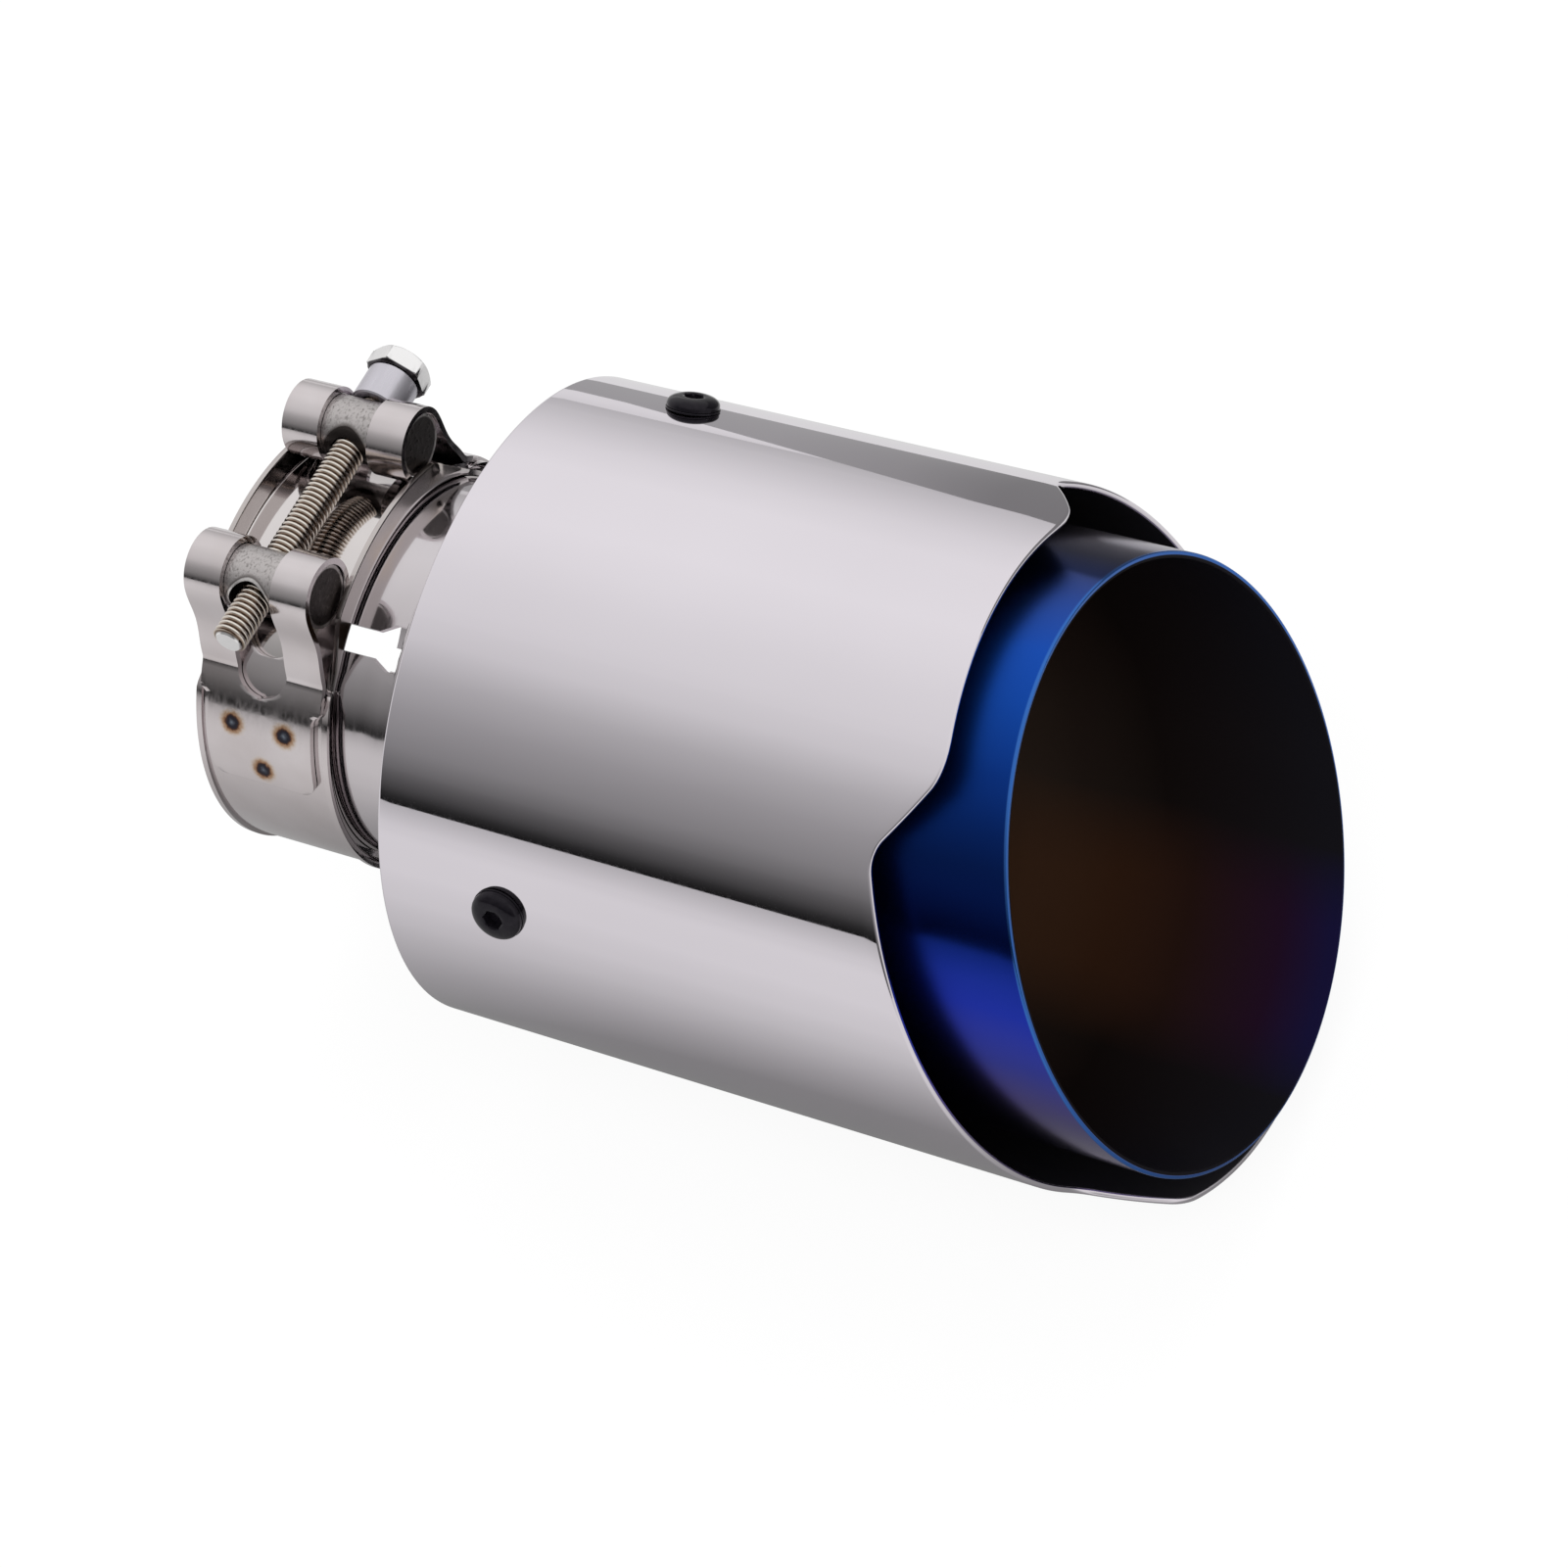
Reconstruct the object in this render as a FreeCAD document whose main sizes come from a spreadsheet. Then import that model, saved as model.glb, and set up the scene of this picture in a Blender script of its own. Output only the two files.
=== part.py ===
import FreeCAD, Part
import math
import os
import Sketcher
from FreeCAD import Placement, Rotation, Vector

# Exhaust tip with a slash-cut, lobed outer sleeve, a heat-coloured inner tip and a
# slotted neck closed by a single-bolt band clamp.
# Frame: X runs along the tube towards the mouth, Z is up, and the origin is the centre
# of the neck's open rear end. Angles round the tube start at the top and grow towards -Y.
doc = FreeCAD.newDocument("exhaust_tip")

SIZES = [
    ("neck_diameter", 69.0, "outside of the slotted neck"),
    ("neck_wall", 1.2, "neck sheet"),
    ("neck_length", 54.0, "rear end to the end inside the cone's collar"),
    ("slot_width", 4.6, "width of a clamping slot"),
    ("slot_end_width", 7.9, "width across the slot's wide inner end"),
    ("slot_length", 37.2, "rear end of the neck to the slot's inner end"),
    ("slot_end_length", 2.2, "straight part of the wide end"),
    ("slot_shoulder", 2.8, "length over which the slot widens"),
    ("slot_angle", 30.0, "first slot, from the top"),
    ("slot_count", 4, "slots round the neck"),
    ("fit_gap", 0.15, "running gap between nested sheets"),
    ("cone_wall", 1.2, "spun cone sheet"),
    ("cone_collar", 4.5, "collar that takes the neck"),
    ("cone_length", 11.0, "sloping part of the cone"),
    ("weld_leg", 1.2, "weld that seals the collar to the neck"),
    ("tip_diameter", 99.8, "outside of the inner tip"),
    ("tip_wall", 1.2, "inner tip sheet"),
    ("tip_slash_angle", 20.5, "slant of the inner tip's mouth"),
    ("mouth_reach", 119.2, "sleeve's rear edge to the mouth's centre"),
    ("sleeve_start", 49.2, "neck's rear end to the sleeve's rear edge"),
    ("sleeve_gap", 5.9, "clear gap between the inner tip and the sleeve"),
    ("sleeve_wall", 1.2, "sleeve sheet"),
    ("sleeve_slash_angle", 21.0, "slant of the sleeve's front edge"),
    ("lobe_reach", 113.5, "sleeve's rear edge to the plane of the lobes"),
    ("lobe_height", 12.0, "lobes above the valleys"),
    ("top_lobe_angle", 28.3, "top lobe's corner, from the top"),
    ("top_valley_angle", 42.9, "side valley's upper corner, from the top"),
    ("low_valley_angle", 125.9, "side valley's lower corner, from the top"),
    ("low_lobe_angle", 137.5, "lower lobe's corner, from the top"),
    ("top_round", 3.5, "rounding of the upper corners"),
    ("low_round", 6.8, "rounding of the lower corners"),
    ("screw_reach", 22.5, "sleeve's rear edge to the screw row"),
    ("screw_near_angle", 70.5, "screw on the near side"),
    ("screw_top_angle", -36.0, "screw beside the top"),
    ("screw_far_angle", 197.5, "screw underneath"),
    ("screw_diameter", 5.0, "thread of the sleeve screws"),
    ("screw_length", 7.0, "shank below the head"),
    ("screw_head_diameter", 9.5, "button head"),
    ("screw_head_height", 2.75, "button head"),
    ("screw_head_brow", 1.2, "straight side of the button head"),
    ("screw_crown_diameter", 5.6, "flat top of the button head"),
    ("screw_socket", 3.0, "hexagon socket across flats"),
    ("screw_socket_depth", 1.7, "hexagon socket"),
    ("screw_clearance", 0.3, "sleeve hole beyond the thread, each side"),
    ("washer_diameter", 10.4, "screw washer"),
    ("washer_thickness", 0.6, "screw washer"),
    ("boss_flats", 9.0, "weld nut on the inner tip, across flats"),
    ("boss_roof_gap", 0.5, "weld nut's top below the sleeve's bore"),
    ("clamp_centre", 14.0, "neck's rear end to the clamp's middle"),
    ("clamp_width", 26.4, "clamp over its rolled edges"),
    ("strap_width", 24.0, "strap between the rolled edges"),
    ("strap_thickness", 1.1, "clamp strap"),
    ("tab_width", 20.6, "welded end of the strap"),
    ("tab_start_angle", 53.0, "where the strap narrows to the tab"),
    ("tab_end_angle", 77.0, "end of the welded tab"),
    ("fold_angle", 45.5, "where the outer leg meets the band"),
    ("fold_radius", 2.0, "bend at the foot of the outer leg"),
    ("rim_height", 0.6, "band's rolled edge above the band"),
    ("rim_start_angle", 47.0, "where the band's rolled edge starts"),
    ("rim_taper", 6.0, "angle over which the rolled edge rises"),
    ("rim_round", 0.85, "bevel under the rolled edge"),
    ("cut_overrun", 1.0, "how far a cut runs past the sheet"),
    ("bridge_thickness", 0.9, "bridge plate under the gap"),
    ("bridge_flange_height", 5.5, "bridge flange above the neck"),
    ("bridge_flange_angle", 46.0, "flange's end, from the top"),
    ("flange_taper_start", 26.0, "where the flange starts to taper, from the top"),
    ("flange_taper_end", 49.0, "where the taper would meet the plate, from the top"),
    ("bridge_plate_angle", 125.0, "plate's end, from the top"),
    ("trunnion_rise", 7.2, "band's outer face to a trunnion's axis"),
    ("trunnion_angle", 23.15, "trunnion from the top"),
    ("trunnion_diameter", 11.0, "cross pin"),
    ("trunnion_length", 23.2, "cross pin"),
    ("ear_slot_width", 9.8, "bolt slot in the strap"),
    ("outer_slot_angle", 44.0, "centre of the outer leg's slot end"),
    ("inner_slot_angle", 33.0, "centre of the inner leg's slot end"),
    ("bolt_diameter", 6.0, "clamp bolt thread"),
    ("bolt_length", 60.0, "clamp bolt under the head"),
    ("bolt_hole_gap", 0.2, "clearance round the bolt, each side"),
    ("bolt_head_flats", 10.0, "hexagon head across flats"),
    ("bolt_head_height", 4.0, "hexagon head"),
    ("bolt_head_bevel", 0.5, "height lost at the head's corners"),
    ("bolt_tip_bevel", 0.6, "bevel at the bolt's end"),
    ("spacer_diameter", 9.5, "tube between trunnion and head"),
    ("spacer_length", 6.9, "tube between trunnion and head"),
    ("trunnion_flat", 5.0, "trunnion's axis to the spacer's seat"),
    ("nut_sink_diameter", 8.4, "counterbore at the nut trunnion's outlet"),
    ("nut_sink_depth", 3.0, "counterbore at the nut trunnion's outlet"),
]


class Size:
    """A length with its number and the sheet expression that drives it."""

    def __init__(self, number, text):
        self.number = number
        self.text = text

    def __add__(self, other):
        other = as_size(other)
        return Size(self.number + other.number, "(%s + %s)" % (self.text, other.text))

    def __sub__(self, other):
        other = as_size(other)
        return Size(self.number - other.number, "(%s - %s)" % (self.text, other.text))

    def __mul__(self, factor):
        return Size(self.number * factor, "(%s * %s)" % (self.text, factor))

    def __truediv__(self, divisor):
        return Size(self.number / divisor, "(%s / %s)" % (self.text, divisor))

    def __neg__(self):
        return Size(-self.number, "(0 - %s)" % self.text)


def as_size(value):
    return value if isinstance(value, Size) else Size(value, repr(value))


def make_sheet():
    """Write every driving dimension to the sheet and return them by name."""
    sheet = doc.addObject("Spreadsheet::Sheet", "sizes")
    for row, (alias, value, note) in enumerate(SIZES, start=1):
        sheet.set("A%d" % row, alias.replace("_", " "))
        sheet.set("B%d" % row, str(value))
        sheet.setAlias("B%d" % row, alias)
        sheet.set("C%d" % row, note)
    doc.recompute()
    return {alias: Size(float(sheet.get(alias)), "sizes.%s" % alias) for alias, value, note in SIZES}


size = make_sheet()
ZERO = Size(0.0, "0")
neck_radius = size["neck_diameter"] / 2
neck_bore = neck_radius - size["neck_wall"]
tip_radius = size["tip_diameter"] / 2
sleeve_bore = tip_radius + size["sleeve_gap"]
sleeve_radius = sleeve_bore + size["sleeve_wall"]
bolt_radius = size["bolt_diameter"] / 2
cone_end = size["neck_length"] + size["cone_length"]
bridge_inner = neck_radius + size["fit_gap"]
bridge_outer = bridge_inner + size["bridge_thickness"]
band_inner = bridge_outer + size["fit_gap"]
band_outer = band_inner + size["strap_thickness"]
trunnion_radius = band_outer + size["trunnion_rise"]
screw_x = size["sleeve_start"] + size["screw_reach"]


def new_body(label):
    body = doc.addObject("PartDesign::Body", label)
    body.Label = label
    return body


def origin_part(body, role):
    return [item for item in body.Origin.OriginFeatures if item.Role == role][0]


def new_sketch(body, role, name, height=None):
    """A sketch on one of the body's own origin planes, lifted along its normal."""
    sketch = body.newObject("Sketcher::SketchObject", name)
    sketch.AttachmentSupport = (origin_part(body, role), [""])
    sketch.MapMode = "FlatFace"
    if height is not None:
        sketch.setExpression("AttachmentOffset.Base.z", height.text)
    return sketch


def pin(sketch, line, vertex, point):
    """Hold one vertex at a place given by two sizes."""
    for kind, value in (("DistanceX", point[0]), ("DistanceY", point[1])):
        index = sketch.addConstraint(Sketcher.Constraint(kind, -1, 1, line, vertex, value.number))
        sketch.setExpression("Constraints[%d]" % index, value.text)


def draw_outline(sketch, points):
    """A closed outline of straight lines with every corner pinned to its sizes."""
    spots = [Vector(x.number, y.number, 0) for x, y in points]
    first = sketch.GeometryCount
    for here, there in zip(spots, spots[1:] + spots[:1]):
        sketch.addGeometry(Part.LineSegment(here, there), False)
    for index, point in enumerate(points):
        before = first + (index - 1) % len(points)
        sketch.addConstraint(Sketcher.Constraint("Coincident", before, 2, first + index, 1))
        pin(sketch, first + index, 1, point)


def draw_circle(sketch, centre, radius):
    middle = Vector(centre[0].number, centre[1].number, 0)
    circle = sketch.addGeometry(Part.Circle(middle, Vector(0, 0, 1), radius.number), False)
    index = sketch.addConstraint(Sketcher.Constraint("Radius", circle, radius.number))
    sketch.setExpression("Constraints[%d]" % index, radius.text)
    pin(sketch, circle, 3, centre)


def revolve(body, sketch, name, angle=None):
    """Turn a sketch round the tube's axis, all the way or evenly about its plane."""
    turned = body.newObject("PartDesign::Revolution", name)
    turned.Profile = sketch
    turned.ReferenceAxis = (origin_part(body, "X_Axis"), [""])
    turned.Angle = 360
    if angle is not None:
        turned.Midplane = True
        turned.setExpression("Angle", angle.text)
    return turned


def pad(body, sketch, name, length, midplane=False):
    padded = body.newObject("PartDesign::Pad", name)
    padded.Profile = sketch
    padded.Midplane = midplane
    padded.setExpression("Length", length.text)
    return padded


def pocket(body, sketch, name, length, midplane=False, reverse=False):
    cut = body.newObject("PartDesign::Pocket", name)
    cut.Profile = sketch
    cut.Midplane = midplane
    cut.Reversed = reverse
    cut.setExpression("Length", length.text)
    return cut


def place(item, x, angle, offset=ZERO):
    """Seat a piece at x, turned round the tube and lifted along its own radius."""
    turn = Rotation(Vector(1, 0, 0), angle.number)
    lift = turn.multVec(Vector(0, 0, offset.number))
    item.Placement = Placement(Vector(x.number, 0, 0) + lift, turn)


def ring_sketch(body, role, name, inner, outer, start, end):
    sketch = new_sketch(body, role, name)
    draw_outline(sketch, [(start, inner), (end, inner), (end, outer), (start, outer)])
    return sketch


def polar(angle, radius):
    """The point in the Y-Z plane at an angle from the top and a distance from the axis."""
    turn = math.radians(angle)
    return Vector(0, -radius * math.sin(turn), radius * math.cos(turn))


def prism(points, x_start, x_end):
    """A solid with a straight-sided outline in the Y-Z plane."""
    shifted = [Vector(x_start, point.y, point.z) for point in points]
    face = Part.Face(Part.makePolygon(shifted + shifted[:1]))
    return face.extrude(Vector(x_end - x_start, 0, 0))


def static_shape(label, shape):
    item = doc.addObject("Part::Feature", label)
    item.Label = label
    item.Shape = shape
    return item


# Neck: drawn stainless tube with four slots that let the clamp close it on the pipe.
def make_neck():
    body = new_body("neck_tube")
    section = ring_sketch(body, "XZ_Plane", "neck_section", neck_bore, neck_radius, ZERO, size["neck_length"])
    revolve(body, section, "neck_wall_ring")
    half = size["slot_width"] / 2
    wide = size["slot_end_width"] / 2
    end = size["slot_length"]
    flat = end - size["slot_end_length"]
    shoulder = flat - size["slot_shoulder"]
    slot = new_sketch(body, "XY_Plane", "slot_outline")
    overhang = -size["cut_overrun"]
    draw_outline(slot, [(overhang, -half), (shoulder, -half), (flat, -wide), (end, -wide),
                        (end, wide), (flat, wide), (shoulder, half), (overhang, half)])
    cut = pocket(body, slot, "clamping_slot", size["neck_diameter"], reverse=True)
    pattern = body.newObject("PartDesign::PolarPattern", "slots_round_neck")
    pattern.Originals = [cut]
    pattern.Axis = (origin_part(body, "X_Axis"), [""])
    pattern.Angle = 360
    pattern.setExpression("Occurrences", size["slot_count"].text)
    body.Tip = pattern
    place(body, ZERO, size["slot_angle"])


# Cone: spun reducer, its collar fillet-welded over the neck and its rim butted to the inner tip.
def make_cone():
    body = new_body("rear_cone")
    inner = neck_radius + size["fit_gap"]
    outer = inner + size["cone_wall"]
    start = size["neck_length"] - size["cone_collar"]
    rim = tip_radius - size["tip_wall"]
    rise = rim - inner
    run = size["cone_length"]
    slant = math.hypot(rise.number, run.number)
    share = Size((slant - run.number) / rise.number, "((sqrt(%s ^ 2 + %s ^ 2) - %s) / %s)"
                 % (rise.text, run.text, run.text, rise.text))
    mitre = Size(size["cone_wall"].number * share.number, "(%s * %s)" % (size["cone_wall"].text, share.text))
    sketch = new_sketch(body, "XZ_Plane", "cone_section")
    draw_outline(sketch, [(start - size["weld_leg"], inner), (size["neck_length"], inner), (cone_end, rim),
                          (cone_end, tip_radius), (cone_end - mitre, tip_radius),
                          (size["neck_length"] - mitre, outer), (start, outer)])
    revolve(body, sketch, "cone_wall_ring")


# Inner tip: rolled tube with a slash-cut mouth, butt-welded to the cone.
def make_inner_tip():
    body = new_body("inner_tip")
    slope = math.tan(math.radians(size["tip_slash_angle"].number))
    drop = "tan(sizes.tip_slash_angle * 1 deg)"
    reach = Size(tip_radius.number * slope, "(%s * %s)" % (tip_radius.text, drop))
    centre = size["sleeve_start"] + size["mouth_reach"]
    start = cone_end + size["fit_gap"]
    longest = centre + reach
    bore = tip_radius - size["tip_wall"]
    section = ring_sketch(body, "XZ_Plane", "tip_section", bore, tip_radius, start, longest)
    revolve(body, section, "tip_wall_ring")
    mouth = new_sketch(body, "XZ_Plane", "mouth_cut")
    past = longest + tip_radius
    above = tip_radius * 2
    lean = reach * 2
    draw_outline(mouth, [(centre - lean, above), (past, above), (past, -above), (centre + lean, -above)])
    pocket(body, mouth, "slash_cut", size["tip_diameter"] * 2, midplane=True)


def sleeve_corner(angle_name, drop):
    """A corner of the sleeve's front edge in side view, on the lobes' plane or dropped to the valleys'."""
    angle = size[angle_name]
    height = Size(sleeve_radius.number * math.cos(math.radians(angle.number)),
                  "(%s * cos(%s * 1 deg))" % (sleeve_radius.text, angle.text))
    return (sleeve_edge(height) - drop, height)


def sleeve_edge(height):
    """Where the slanted plane of the lobes lies at a height above the tube's axis."""
    slope = math.tan(math.radians(size["sleeve_slash_angle"].number))
    slant = Size(height.number * slope, "(%s * tan(sizes.sleeve_slash_angle * 1 deg))" % height.text)
    return size["sleeve_start"] + size["lobe_reach"] - slant


def crosswise_edges(shape, low, high):
    """Names of the straight edges along Y whose height lies between two values."""
    names = []
    for index, edge in enumerate(shape.Edges, start=1):
        if not isinstance(edge.Curve, (Part.Line, Part.LineSegment)):
            continue
        across = abs(edge.tangentAt(edge.FirstParameter).y) > 0.999
        if across and low < edge.CenterOfMass.z < high:
            names.append("Edge%d" % index)
    return names


# Outer sleeve: polished tube, its front cut through from the side so that lobes stand at top and bottom.
def make_sleeve():
    tube = new_body("sleeve_tube")
    reach = sleeve_radius * 2
    top = sleeve_edge(reach)
    bottom = sleeve_edge(-reach)
    revolve(tube, ring_sketch(tube, "XZ_Plane", "sleeve_section", sleeve_bore, sleeve_radius,
                              size["sleeve_start"], bottom), "sleeve_wall_ring")
    waste = new_body("sleeve_waste")
    front = new_sketch(waste, "XZ_Plane", "front_edge_outline")
    past = bottom + sleeve_radius
    drop = size["lobe_height"]
    draw_outline(front, [(top, reach), sleeve_corner("top_lobe_angle", ZERO),
                         sleeve_corner("top_valley_angle", drop), sleeve_corner("low_valley_angle", drop),
                         sleeve_corner("low_lobe_angle", ZERO), (bottom, -reach), (past, -reach), (past, reach)])
    block = pad(waste, front, "waste_block", sleeve_radius * 4, midplane=True)
    doc.recompute()
    high = sleeve_radius.number
    for name, low, upper in (("top_round", 0, high), ("low_round", -high, 0)):
        rounded = waste.newObject("PartDesign::Fillet", name + "s")
        rounded.Base = (block, crosswise_edges(block.Shape, low, upper))
        rounded.setExpression("Radius", size[name].text)
        doc.recompute()
        block = rounded
    result = doc.addObject("Part::Cut", "sleeve_trimmed")
    result.Base = tube
    result.Tool = waste
    for index, angle in enumerate(screw_angles(), start=1):
        drill = doc.addObject("Part::Cylinder", "screw_hole_%d" % index)
        hole = size["screw_diameter"] / 2 + size["screw_clearance"]
        drill.setExpression("Radius", hole.text)
        drill.setExpression("Height", (sleeve_radius * 2).text)
        place(drill, screw_x, angle)
        drilled = doc.addObject("Part::Cut", "sleeve_drilled_%d" % index)
        drilled.Base = result
        drilled.Tool = drill
        result = drilled
    result.Label = "outer_sleeve"


def screw_angles():
    return [size["screw_near_angle"], size["screw_top_angle"], size["screw_far_angle"]]


# Sleeve fixings: black button-head screws on thin washers, in nuts welded to the inner tip.
def make_fixings():
    for index, angle in enumerate(screw_angles(), start=1):
        make_washer("screw_washer_%d" % index, angle)
        make_screw("sleeve_screw_%d" % index, angle)
        make_boss("screw_boss_%d" % index, angle)


def make_washer(label, angle):
    body = new_body(label)
    ring = new_sketch(body, "XY_Plane", label + "_ring")
    draw_circle(ring, (ZERO, ZERO), size["washer_diameter"] / 2)
    draw_circle(ring, (ZERO, ZERO), size["screw_diameter"] / 2 + size["fit_gap"])
    pad(body, ring, label + "_plate", size["washer_thickness"])
    place(body, screw_x, angle, sleeve_radius)


def make_screw(label, angle):
    body = new_body(label)
    head = size["screw_head_diameter"] / 2
    height = size["screw_head_height"]
    shank = size["screw_diameter"] / 2
    profile = new_sketch(body, "XZ_Plane", label + "_section")
    draw_outline(profile, [(ZERO, -size["screw_length"]), (shank, -size["screw_length"]), (shank, ZERO),
                           (head, ZERO), (head, size["screw_head_brow"]),
                           (size["screw_crown_diameter"] / 2, height), (ZERO, height)])
    turned = body.newObject("PartDesign::Revolution", label + "_turned")
    turned.Profile = profile
    turned.ReferenceAxis = (origin_part(body, "Z_Axis"), [""])
    turned.Angle = 360
    socket = new_sketch(body, "XY_Plane", label + "_socket", height)
    draw_hexagon(socket, size["screw_socket"])
    pocket(body, socket, label + "_drive", size["screw_socket_depth"])
    place(body, screw_x, angle, sleeve_radius + size["washer_thickness"])


def draw_hexagon(sketch, flats):
    """A hexagon given across its flats, centred on the sketch's origin."""
    corners = []
    for step in range(6):
        turn = math.radians(60 * step)
        corner = flats / math.sqrt(3)
        corners.append((corner * round(math.cos(turn), 9), corner * round(math.sin(turn), 9)))
    draw_outline(sketch, corners)


def make_boss(label, angle):
    """A hexagon weld nut that stands on the tip's crown, just under the sleeve."""
    body = new_body(label)
    section = new_sketch(body, "XY_Plane", label + "_section")
    draw_hexagon(section, size["boss_flats"])
    draw_circle(section, (ZERO, ZERO), size["screw_diameter"] / 2 + size["fit_gap"])
    pad(body, section, label + "_nut", size["sleeve_gap"] - size["fit_gap"] - size["boss_roof_gap"])
    place(body, screw_x, angle, tip_radius + size["fit_gap"])


# Clamp bridge: plate that closes the gap under the bolt, with a flange at each side.
def make_bridge():
    body = new_body("clamp_bridge")
    centre = size["clamp_centre"]
    half = size["clamp_width"] / 2
    reach = half - size["bridge_thickness"]
    plate = ring_sketch(body, "XZ_Plane", "bridge_plate", bridge_inner, bridge_outer,
                        centre - reach, centre + reach)
    revolve(body, plate, "bridge_arc", size["bridge_plate_angle"] * 2)
    top = neck_radius + size["bridge_flange_height"]
    for side, name in ((-1, "rear"), (1, "front")):
        outer = centre + half * side
        inner = centre + reach * side
        root = centre + (reach - size["bridge_thickness"]) * side
        flange = new_sketch(body, "XZ_Plane", "bridge_flange_" + name)
        draw_outline(flange, [(root, bridge_inner), (inner, bridge_inner),
                              (outer, bridge_inner + size["bridge_thickness"]), (outer, top),
                              (inner, top), (inner, bridge_outer + size["fit_gap"]), (root, bridge_outer)])
        revolve(body, flange, "bridge_flange_arc_" + name, size["bridge_flange_angle"] * 2)
    above = top + size["cut_overrun"]
    for side, name in ((-1, "near"), (1, "far")):
        taper = new_sketch(body, "YZ_Plane", "flange_taper_" + name)
        draw_outline(taper, [round_axis(side, "flange_taper_start", top),
                             round_axis(side, "flange_taper_end", bridge_outer),
                             round_axis(side, "flange_taper_end", above),
                             round_axis(side, "flange_taper_start", above)])
        pocket(body, taper, "flange_taper_cut_" + name, size["clamp_width"] * 3, midplane=True)


def round_axis(side, angle_name, radius):
    """A sketch point in the Y-Z plane at a named angle from the top, to one side."""
    angle = size[angle_name]
    turn = math.radians(angle.number)
    across = Size(side * radius.number * math.sin(turn), "(%d * %s * sin(%s * 1 deg))" % (side, radius.text, angle.text))
    return (across, Size(radius.number * math.cos(turn), "(%s * cos(%s * 1 deg))" % (radius.text, angle.text)))


class Bend:
    """An arc of the strap's middle line in the Y-Z plane, from one angle to another."""

    def __init__(self, centre, radius, start, end):
        self.centre = centre
        self.radius = radius
        self.start = start
        self.end = end

    def point(self, share, shift):
        """A point along the arc, moved to the left of the direction of travel."""
        turn = math.radians(self.start + (self.end - self.start) * share)
        left = -shift if self.end > self.start else shift
        reach = self.radius + left
        return self.centre + Vector(0, math.cos(turn), math.sin(turn)) * reach


def direction(vector):
    return math.degrees(math.atan2(vector.z, vector.y))


def strap_bends():
    """The left half of the strap, from the welded tab round the loop to the bottom."""
    middle = size["strap_thickness"].number / 2
    axis = Vector(0, 0, 0)
    band = band_inner.number + middle
    tab = band_outer.number + size["fit_gap"].number + middle
    loop = size["trunnion_diameter"].number / 2 + size["fit_gap"].number + middle
    fold = size["fold_radius"].number + middle
    pin_centre = polar(size["trunnion_angle"].number, trunnion_radius.number)
    fold_centre = polar(size["fold_angle"].number, tab + fold)
    fold_start = 90 + size["fold_angle"].number + 180
    up = pin_centre - fold_centre
    leg = direction(up) - math.degrees(math.acos((fold + loop) / up.Length)) + 360
    back = direction(-pin_centre) + math.degrees(math.acos((loop + band) / pin_centre.Length))
    tab_end = 90 + size["tab_end_angle"].number
    tab_start = 90 + size["fold_angle"].number
    bottom = 270
    return [Bend(axis, tab, tab_end, tab_start),
            Bend(fold_centre, fold, fold_start, leg),
            Bend(pin_centre, loop, leg - 180, back),
            Bend(axis, band, back + 180, bottom)]


def strap_side(bends, shift):
    """Edges along one face of the strap: an arc for each bend and the runs between."""
    edges = []
    last = None
    for bend in bends:
        start = bend.point(0, shift)
        if last is not None and last.distanceToPoint(start) > 1e-6:
            edges.append(Part.LineSegment(last, start).toShape())
        end = bend.point(1, shift)
        edges.append(Part.Arc(start, bend.point(0.5, shift), end).toShape())
        last = end
    return edges


def half_strap(bends, width):
    half = size["strap_thickness"].number / 2
    outer = strap_side(bends, half)
    inner = strap_side(bends, -half)
    caps = [Part.LineSegment(bends[0].point(0, half), bends[0].point(0, -half)).toShape(),
            Part.LineSegment(bends[-1].point(1, half), bends[-1].point(1, -half)).toShape()]
    wire = Part.Wire(Part.__sortEdges__(outer + inner + caps))
    start = size["clamp_centre"].number - width / 2
    face = Part.Face(wire)
    face.translate(Vector(start, 0, 0))
    return face.extrude(Vector(width, 0, 0))


def wedge(start, end, inner, outer, x_start, x_end):
    """A block between two angles and two radii, with straight sides."""
    return prism([polar(start, inner), polar(start, outer), polar(end, outer), polar(end, inner)],
                 x_start, x_end)


def bolt_slot():
    """The slot that splits the strap's legs and loop into two ears."""
    centre = size["clamp_centre"].number
    half = size["ear_slot_width"].number / 2
    above = trunnion_radius.number + size["trunnion_diameter"].number * 1.5
    below = neck_radius.number
    lid = band_outer.number + size["fit_gap"].number / 2
    inner_end = size["inner_slot_angle"].number
    outer_end = size["outer_slot_angle"].number
    x_start = centre - half
    x_end = centre + half
    gap = wedge(0, inner_end, below, above, x_start, x_end)
    gap = gap.fuse(wedge(inner_end, outer_end, lid, above, x_start, x_end))
    inner_round = Part.makeCylinder(half, above - below, polar(inner_end, below) + Vector(centre, 0, 0),
                                    polar(inner_end, 1))
    outer_round = Part.makeCylinder(half, above - lid, polar(outer_end, lid) + Vector(centre, 0, 0),
                                    polar(outer_end, 1))
    return gap.fuse(inner_round).fuse(outer_round)


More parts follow.
